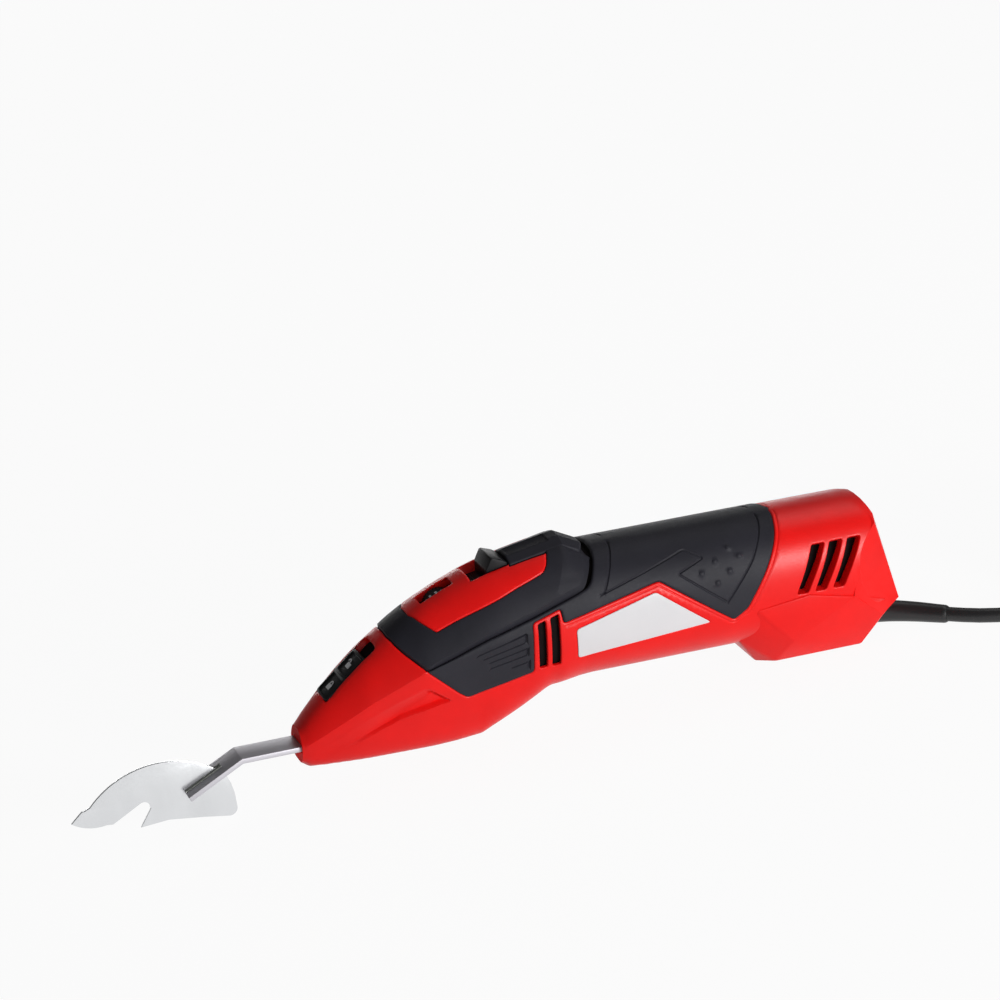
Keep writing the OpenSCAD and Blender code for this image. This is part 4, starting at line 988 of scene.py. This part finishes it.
def rear_end():
    edge = [tuple(p) for p in np.abs(skin.point(REAR_EDGE[:, 0], REAR_EDGE[:, 1])) if p[2] > 13]
    corner = [(x + CAP_SWELL, 0.97 * y, z - 0.3) for x, y, z in edge if z > 63.5]
    for z in (20, 40, 61):
        x = rear_plane(z)
        corner.append((x, (CORNER_REACH - CORNER_WAY[0] * x - CORNER_WAY[2] * z) / CORNER_WAY[1], z))
    add_piece("rear_cap", hull(both(edge + corner + [CAP_LOW, BLOCK[4], REAR_TIP]), 0), RED,
              limit_deg=20)
    add_piece("rear_block", hull(both(BLOCK), 1.1, before=270), RED,
              limit_deg=28)


rear_end()


# Soft grip, one moulding over both sides.
GRIP_PROUD = 0.35
GRIP_GROOVES = [
    [(197.5, 38.5), (204.6, 47.4), (211.2, 55.2), (215.4, 61.4), (219.6, 67.1), (221.4, 69.2)],
    [(139.4, 53.6), (142.5, 59.5), (146.1, 65.8), (148.6, 68.6), (149.4, 69.2)],
    [(137.6, 53.2), (180.4, 64.2), (188.5, 60.1), (175.2, 55.6), (197, 39.2)],
]
BARS = [[(100.6, 42.4), (78.4, 36.4)], [(100, 38.4), (81.2, 33.9)], [(101, 35.4), (84, 31.6)],
        [(100.8, 32.2), (84.4, 28.7)], [(101.6, 28.6), (94, 27)]]
TICKS = [[(100.8, 42.2), (100.8, 38.6)], [(101.4, 35.2), (101.4, 32.4)], [(102, 28.5), (102, 25.6)]]
# Corner radius, step, half width and depth of each kind of line.
GRIP_LINES = ((GRIP_GROOVES, 1.5, 0.6, 0.6, 0.5), (BARS, 0, 0.4, 0.42, 0.5), (TICKS, 0, 0.4, 0.8, 0.9))
GRIP_BUMPS = [(201.4, 62), (205.5, 58.2), (193.6, 57.7), (199.9, 52.8), (186.4, 53.8), (193.5, 48.6)]


def soft_grip():
    near = np.concatenate([seam_path()[::-1], grip_lower_path()[1:]])
    near = np.array([p for p in near if not (p[0] < 55 and p[1] > skin.turn_at(55, 32.6) + 0.01)])
    loop = both_sides(resample(near, 0.7))
    grooves = []
    for lines, radius, step, half, depth in GRIP_LINES:
        for line in lines:
            path = skin.side_path(line, radius, step)
            grooves += [Groove(path, half, depth), Groove(mirrored(path), half, depth)]
    bumps = []
    for x, z in GRIP_BUMPS:
        turn = skin.turn_at(x, z)
        bumps += [Bump((x, turn), 1.5, 0.55), Bump((x, -turn), 1.5, 0.55)]
    bore = ring_loop(GRIP_SCREW[0], -skin.turn_at(*GRIP_SCREW), SCREW_BORE)
    rims = [Rim(closed_path(loop), 1.0, GROOVE_FLOOR), Rim(closed_path(bore), 0.4, -0.2)]
    pile = Pile().add(*region(skin, [loop, bore], 1.7, base=GRIP_PROUD, rims=rims,
                              grooves=grooves, bumps=bumps))
    pile.add(*wall(skin, bore, -0.2, BORE_FLOOR))
    add_piece("soft_grip", pile, RUBBER, replaces=["left_grip", "right_grip"])


soft_grip()


# Front cover over the gears, with the rail behind the knob.
FACET = [(129.3, 71), (126.8, 69.4), (123.5, 66), (120.6, 62), (117.7, 57.4)]
FACET_SLOPE = 0.15
CHAMFER = [(42, 0.8), (52, 1), (58, 2), (80, 2.6), (110, 3), (125, 3.2), (134, 2.6), (141, 2)]
RAIL_LINE = [(101, 71.9), (126.3, 76.6), (137.4, 71)]
RAIL_HALF = 9.6
RAIL_FLAT = 3.5
RAIL_FALL = 2.3
STRIP_HALF = 4.6
STRIP_END_X = 122
EAVE_OUT = 20
COVER_REAR = [(126, 55), (130, 56.4), (132.2, 58.7), (134.2, 62.1), (137.4, 66.8)]
COVER_TOP_X = 137
NOTCH_FLOOR = -2.3


def eave_rows():
    """How far the cover rises beside the rail, by X."""
    rows = [(94, 0.0)]
    for x in range(104, 137, 2):
        z = skin.point([x], [skin.turn_out(x, RAIL_HALF)])[0, 2]
        rows.append((x, max(0.0, table(x, RAIL_LINE) - RAIL_FALL - 0.35 - z - table(x, COVER_LIFT))))
    return rows + [(140.5, 0.0)]


EAVE = eave_rows()


def eave_lift(x, turn):
    y = np.abs(skin.point(x, turn)[:, 1])
    return table(x, EAVE) * np.clip((EAVE_OUT - y) / (EAVE_OUT - RAIL_HALF), 0, 1)


def cover_lift(x, turn):
    return table(x, COVER_LIFT) + eave_lift(x, turn)


def facet_x(z):
    rows = np.array(FACET[::-1])
    return np.interp(z, rows[:, 1], rows[:, 0])


def cover_height(x, turn):
    z = skin.point(x, turn)[:, 2]
    return cover_lift(x, turn) - FACET_SLOPE * np.clip(x - facet_x(z), 0, None)


def panel_side():
    return np.concatenate([[(PANEL_ENDS_X[0], 0.0), (PANEL_ENDS_X[0], skin.turn_out(54, 4.7))],
                           skin.side_path(PANEL, radius=0.9)])


def front_cover():
    rear = skin.side_path([p for p in SEAM if p[0] < 126] + COVER_REAR, radius=2)
    top = [(138.2, skin.turn_out(138, 12)), (COVER_TOP_X, skin.turn_out(137, 9)), (COVER_TOP_X, 0.0)]
    near = np.concatenate([cover_front_path()[:-1], rear, top])
    loop = both_sides(resample(near, 0.7))
    hole = both_sides(resample(np.concatenate([panel_side(), [(PANEL_ENDS_X[1], skin.turn_out(118, 9.8)),
                                                              (PANEL_ENDS_X[1], 0.0)]]), 0.7))
    facet = skin.side_path([f for f in FACET if f[1] < 69], step=1.0)
    rims = [Rim(closed_path(loop), lambda x: table(x, CHAMFER), -1.2, flat=True),
            Rim(closed_path(hole), 0.7, lambda x, turn: cover_lift(x, turn) - 0.8)]
    pile = Pile().add(*region(skin, [loop, hole], 1.7, base=cover_height, rims=rims, lines=[facet, mirrored(facet)]))
    edge = both_sides(resample(np.concatenate([rear[rear[:, 0] > 120], top]), 0.7))
    pile.add(*wall(skin, edge, -1.2, NOTCH_FLOOR - 0.2, closed=False))
    add_piece("front_cover_skin", pile, RUBBER, replaces=["front_cover"], limit_deg=22)


def cover_notch():
    """The gap between the cover's rear edge and the grip, its sunk floor painted near black as shade."""
    seam = seam_path()
    seam = resample(seam[seam[:, 0] > 122], 0.8)
    back = both_sides(seam)
    loop = np.concatenate([back, back[::-1] - (7.0, 0.0)])
    pile = Pile().add(*region(skin, [loop], 1.6, base=NOTCH_FLOOR))
    pile.add(*wall(skin, back, GROOVE_FLOOR, NOTCH_FLOOR - 0.2, closed=False))
    add_piece("cover_notch", pile, PAINTED_SHADE)


front_cover()
cover_notch()


class RailTop:
    """The rail's top, by X and Y."""

    def point(self, a, b):
        fall = RAIL_FALL * np.clip((np.abs(b) - RAIL_FLAT) / (RAIL_HALF - RAIL_FLAT), 0, 1)
        return np.stack([a, b, table(a, RAIL_LINE) - fall], -1)

    def normal(self, a, b):
        return np.tile((0.0, 0.0, 1.0), (len(a), 1))


def rail():
    start, ridge_x, end = (p[0] for p in RAIL_LINE)
    loop = round_loop([(start, -RAIL_HALF), (start, RAIL_HALF), (end - 3, RAIL_HALF), (end, RAIL_FLAT),
                       (end, -RAIL_FLAT), (end - 3, -RAIL_HALF)], 0.8, 0.6)
    strip = round_loop([(start + 1, -STRIP_HALF), (start + 1, STRIP_HALF), (STRIP_END_X, STRIP_HALF),
                        (STRIP_END_X, -STRIP_HALF)], 0.6, 0.5)
    lines = [resample([(ridge_x, 1.0 - RAIL_HALF), (ridge_x, RAIL_HALF - 1.0)], 0.8)]
    lines += [resample([(start + 1, s * RAIL_FLAT), (end - 1, s * RAIL_FLAT)], 0.8) for s in (-1, 1)]
    pile = Pile().add(*region(RailTop(), [loop], 1.2, rims=[Rim(closed_path(loop), 0.7, -0.6)], lines=lines,
                              recesses=[Recess(strip, 0.5, 0.8)]))
    pile.add(*wall(RailTop(), loop, -0.6, -8))
    add_piece("cover_rail", pile, RUBBER, limit_deg=22)


rail()

# Red panel with the dial's window, open round the knob and the rail.
DIAL_WINDOW = (60.5, 76.1, 3.8)
KNOB_SLOT = (83, 8.3)
PANEL_PROUD = 0.05


def switch_panel():
    slot_x, slot_y = KNOB_SLOT
    rail_x = RAIL_LINE[0][0]
    inner = [(PANEL_ENDS_X[1], skin.turn_out(118, RAIL_HALF)), (rail_x, skin.turn_out(rail_x, RAIL_HALF)),
             (rail_x, skin.turn_out(rail_x, slot_y)), (slot_x, skin.turn_out(slot_x, slot_y)), (slot_x, 0.0)]
    loop = both_sides(resample(np.concatenate([panel_side(), inner]), 0.7))
    window = rect_loop(*DIAL_WINDOW, 0.9, 0.5)
    rims = [Rim(closed_path(loop), 0.8, lambda x, turn: cover_lift(x, turn) - 0.6),
            Rim(closed_path(window), 0.5, lambda x, turn: cover_lift(x, turn) - 0.3)]
    pile = Pile().add(*region(skin, [loop, window], 1.6, base=lambda x, turn: cover_lift(x, turn) + PANEL_PROUD,
                              rims=rims))
    pile.add(*wall(skin, window, 0.3, -2.4))
    pocket = resample(np.array(inner[2:] + [(slot_x, -skin.turn_out(slot_x, slot_y)),
                                            (rail_x, -skin.turn_out(rail_x, slot_y))]), 0.7)
    pile.add(*wall(skin, pocket, 0.8, -3.5, closed=False))
    add_piece("red_panel", pile, RED, replaces=["switch_panel"])


switch_panel()


# Switch knob with the plate that closes its slot.
KNOB_HALF = 7.9
KNOB_OUTLINE = [(90.5, 60.9), (100.6, 63.4), (100.6, 69.9), (98.4, 71.3), (93.7, 72.9), (92.9, 72.7), (90.5, 67.8)]
PLATE_FROM = (82.6, 60.9)
PLATE_SLOPE = math.radians(12)
PLATE_RUN = 20.5
PLATE_HALF = 8.6
PLATE_THICK = 1.2


def switch_knob():
    pile = Pile().add(*plate(KNOB_OUTLINE, KNOB_HALF, 0.55))
    run = (math.cos(PLATE_SLOPE), math.sin(PLATE_SLOPE))
    end = (PLATE_FROM[0] + PLATE_RUN * run[0], PLATE_FROM[1] + PLATE_RUN * run[1])
    under = [(x, z - PLATE_THICK) for x, z in (end, PLATE_FROM)]
    pile.add(*plate([PLATE_FROM, end] + under, PLATE_HALF, 0.25))
    for i in range(3):
        a = 1.6 + 1.9 * i
        at = (PLATE_FROM[0] + a * run[0], PLATE_FROM[1] + a * run[1])
        pile.add(*plate([(at[0], at[1] - 0.4), (at[0] + 0.9, at[1] - 0.3), (at[0] + 0.8, at[1] + 0.5),
                         (at[0] + 0.1, at[1] + 0.4)], 6.5, 0.15))
    add_piece("switch_slider", pile, BLACK, body="switch", replaces=["switch_knob"],
              limit_deg=35)


switch_knob()


# Speed dial: a knurled wheel with four pale marks.
DIAL_AT = (70.6, 51.966)
DIAL_R = 8
DIAL_HALF = 3.3
DIAL_KNURLS = 36
DIAL_MARKS = (-60, -38, -16, 6)


def speed_dial():
    outline = []
    for i in range(DIAL_KNURLS):
        for part, r in ((0.0, DIAL_R), (0.5, DIAL_R), (0.62, DIAL_R - 0.35), (0.88, DIAL_R - 0.35)):
            a = 2 * math.pi * (i + part) / DIAL_KNURLS
            outline.append((DIAL_AT[0] + r * math.cos(a), DIAL_AT[1] + r * math.sin(a)))
    add_piece("dial_wheel", plate(outline, DIAL_HALF, 0.12, 1), BLACK, body="dial", replaces=["speed_dial"],
              limit_deg=30)
    marks = Pile()
    for i, lean in enumerate(DIAL_MARKS):
        a = math.radians(lean)
        out, way = np.array((math.sin(a), math.cos(a))), np.array((math.cos(a), -math.sin(a)))
        half = 0.45 + 0.07 * i
        corners = [np.array(DIAL_AT) + out * r + way * w for r, w in ((DIAL_R - 0.5, -half), (DIAL_R - 0.5, half),
                                                                     (DIAL_R + 0.12, half), (DIAL_R + 0.12, -half))]
        points, faces = plate([tuple(c) for c in corners], 0.8, 0.1, 1)
        marks.add([(x, y - 1.9, z) for x, y, z in points], faces)
    add_piece("dial_marks", marks, WHITE, body="dial")


speed_dial()


# Lock slider on the nose, with two sunk pads and a padlock mark on each.
LOCK_FOOT = (12.4, 20.6)
LOCK_SLOPE = math.radians(40.4)
LOCK_LENGTH = 25.5
LOCK_HALF = 7.2
LOCK_TOP = 0.6
LOCK_FLOOR = -3.1
MARK_SPAN = (-0.3, 0.12)
on_nose = Flat((LOCK_FOOT[0], 0, LOCK_FOOT[1]), (math.cos(LOCK_SLOPE), 0, math.sin(LOCK_SLOPE)), (0, 1, 0))


def nose_rect(*size):
    return rect_loop(*size, 0.4)


def lock_slider():
    loop = nose_rect(0.1, LOCK_LENGTH, LOCK_HALF, 2.4)
    mid = LOCK_LENGTH / 2
    pads = [Recess(nose_rect(1.2, mid - 0.9, LOCK_HALF - 1.2, 1.2), 0.5, 0.75),
            Recess(nose_rect(mid + 0.9, LOCK_LENGTH - 1.2, LOCK_HALF - 1.2, 1.2), 0.5, 0.75)]
    crown = lambda a, b: LOCK_TOP - 0.012 * b * b + 0.5 * np.clip(1 - np.abs(a - mid) / 0.9, 0, 1)
    pile = Pile().add(*region(on_nose, [loop], 0.9, base=crown, rims=[Rim(closed_path(loop), 0.5, -0.4)],
                              recesses=pads,
                              lines=[resample([(mid, 0.6 - LOCK_HALF), (mid, LOCK_HALF - 0.6)], 0.6)]))
    pile.sharp = []
    pile.add(*wall(on_nose, loop, -0.4, LOCK_FLOOR + 0.3))
    add_piece("lock_button", pile, BLACK, body="lock", replaces=["lock_slider"], limit_deg=35)
    marks = Pile()
    for at, turn in ((6.6, 0.0), (19.2, 1.6)):
        body = nose_rect(at - 2.3, at + 0.25, 1.75, 0.35)
        marks.add(*raised(on_nose, body, *MARK_SPAN))
        bow = arc((at + 0.2, turn), 1.35, -90, 90, 10)
        inner = arc((at + 0.2, turn), 0.8, 90, -90, 10)
        legs = [(at + 0.1, turn - 1.35)] + bow + [(at + 0.1, turn + 1.35), (at + 0.1, turn + 0.8)] + inner
        marks.add(*raised(on_nose, [(a + 0.5, b) for a, b in legs + [(at + 0.1, turn - 0.8)]], *MARK_SPAN))
        for side in (-1.08, 1.08) if not turn else (-1.08,):
            foot = [(at + a, turn + side + b) for a, b in ((0.2, -0.27), (0.65, -0.27), (0.65, 0.27), (0.2, 0.27))]
            marks.add(*raised(on_nose, foot, *MARK_SPAN))
    add_piece("lock_marks", marks, WHITE, body="lock", replaces=["lock_icons"])
    # Near-black floor under the slider: painted shade in the gap round it.
    floor = Pile().add(*raised(on_nose, nose_rect(-0.4, LOCK_LENGTH + 7.2, LOCK_HALF + 0.5, 1.5), -4, LOCK_FLOOR))
    add_piece("lock_floor", floor, PAINTED_SHADE)


lock_slider()


# Blade and shank.
BLADE_HALF = 0.6
ARC_MID = (-63, -38.4)
ARC_R = 42.6
BLADE = [BLADE_TIP, (-98.8, -11.5), (-97.8, -11.6)] + arc(ARC_MID, ARC_R, 139, 46, 28) + [(-31.6, -12), (-30.3, -17)]
BLADE += arc(HEEL_MID, HEEL_R, 10, -95, 8) + [(-44.6, -25.8), (-60.8, -23.6), (-73.5, -24.6), (-68.2, -16.2)]
BLADE += arc((-71.4, -15.6), 2.8, -10, 125, 8) + [(-85.7, -20.4)] + arc((-92, -0.4), 20, -80, -122, 6)
SHANK_HALF = 7
SHANK_THICK = 2.5
SHANK_TAIL = 24
BEND_X = -27
SHANK_SLOPE = math.radians(27.8)
SHANK_RUN = 28.3


def blade():
    add_piece("scraper_blade", plate(BLADE, BLADE_HALF, 0.16, 2), BRIGHT, body="blade", replaces=["blade"],
              limit_deg=30)
    half = SHANK_THICK / 2
    elbow = half * math.tan(SHANK_SLOPE / 2)
    down = np.array((-math.cos(SHANK_SLOPE), -math.sin(SHANK_SLOPE)))
    off = np.array((math.sin(SHANK_SLOPE), -math.cos(SHANK_SLOPE))) * half
    end = np.array((BEND_X, 0)) + SHANK_RUN * down
    outline = [(SHANK_TAIL, half), (BEND_X - elbow, half), tuple(end - off), tuple(end + off),
               (BEND_X + elbow, -half), (SHANK_TAIL, -half)]
    add_piece("blade_shank", plate(outline, SHANK_HALF, 0.35), SHANK, body="blade", replaces=["shank"],
              limit_deg=35)
    pile = Pile()
    start = np.array((BEND_X, 0)) + 7 * down
    weld = [tuple(start + (end - start) * t) for t in np.linspace(0.08, 0.98, 26)]
    swell = [0.75 + 0.16 * math.sin(2.3 * i) for i in range(len(weld))]
    off = off * 1.05
    for side in (-1, 1):
        for face in (-1, 1):
            bead = [(x + face * off[0], side * (BLADE_HALF + 0.4), z + face * off[1]) for x, z in weld]
            pile.add(*tube(bead, swell, 10))
    add_piece("weld_beads", pile, WELD, body="blade", limit_deg=50)


blade()


# Side plates, left bare.
LABEL_THICK = 0.28


def side_label(side):
    loop = skin.side_loop(LABEL, LABEL_RADIUS)
    pile = Pile().add(*region(skin, [loop], 1.8, base=LABEL_THICK,
                              rims=[Rim(closed_path(loop), 0.3, 0.0)]))
    if side > 0:
        pile.mirror()
    name = "right_label" if side > 0 else "left_label"
    add_piece(name + "_plate", pile, WHITE, replaces=[name])


side_label(-1)
side_label(1)


# Stage: floor, light and background.
WORLD_LEVEL = 0.13
FLOOR_GLOW = 0.94
FLOOR_SIZE = 60
FLOOR_DROP = 0.0004
# Name, place, aim, size and power of each lamp.
LAMPS = (("key", (0.7, -1.3, 0.28), (0.03, 0, 0.04), (0.46, 0.4), 17.2),
         ("top", (0.7, 0.3, 1.1), (0.12, 0, 0.05), (0.9, 0.4), 2),
         ("front", (-0.3, -1.4, 0.25), (0, 0, 0.04), (0.8, 0.4), 1),
         ("back", (0.5, 2.9, 0.24), (0.1, 0, 0.04), (1.9, 0.44), 14))


def make_floor():
    bm = bmesh.new()
    bmesh.ops.create_grid(bm, x_segments=8, y_segments=8, size=FLOOR_SIZE)
    mesh = bpy.data.meshes.new("floor")
    bm.to_mesh(mesh)
    bm.free()
    floor = bpy.data.objects.new("floor", mesh)
    floor.location = (0, 0, -FLOOR_DROP)
    bpy.context.scene.collection.objects.link(floor)
    material = bpy.data.materials.new("floor")
    material.use_nodes = True
    tree = material.node_tree
    nodes, links = tree.nodes, tree.links
    diffuse = set_inputs(tree, nodes["Principled BSDF"], Base_Color=(0.9, 0.9, 0.9, 1), Roughness=0.9)
    glow = new_node(tree, "Emission", Strength=1.0)
    ray = new_node(tree, "LightPath")
    seen = ray.outputs["Is Camera Ray"]
    for name in ("Is Glossy Ray", "Is Transmission Ray"):
        either = new_node(tree, "Math")
        either.operation = "MAXIMUM"
        links.new(seen, either.inputs[0])
        links.new(ray.outputs[name], either.inputs[1])
        seen = either.outputs["Value"]
    share = new_node(tree, "Math")
    share.operation = "MULTIPLY"
    share.inputs[1].default_value = FLOOR_GLOW
    links.new(seen, share.inputs[0])
    mix = new_node(tree, "MixShader", Fac=share.outputs["Value"])
    links.new(diffuse.outputs["BSDF"], mix.inputs[1])
    links.new(glow.outputs["Emission"], mix.inputs[2])
    set_inputs(tree, nodes["Material Output"], Surface=mix.outputs["Shader"])
    mesh.materials.append(material)


def lamp(name, at, aim, size, power):
    data = bpy.data.lights.new(name, "AREA")
    data.shape = "RECTANGLE"
    data.size, data.size_y = size
    data.energy = power
    lamp_object = bpy.data.objects.new(name, data)
    lamp_object.location = at
    lamp_object.rotation_euler = (Vector(aim) - Vector(at)).to_track_quat("-Z", "Y").to_euler()
    bpy.context.scene.collection.objects.link(lamp_object)


def make_stage():
    world = bpy.data.worlds.new("studio")
    bpy.context.scene.world = world
    world.use_nodes = True
    background = world.node_tree.nodes["Background"]
    background.inputs["Color"].default_value = (1, 1, 1, 1)
    background.inputs["Strength"].default_value = WORLD_LEVEL
    make_floor()
    for row in LAMPS:
        lamp(*row)
    bpy.context.scene.view_settings.view_transform = "Standard"


make_stage()
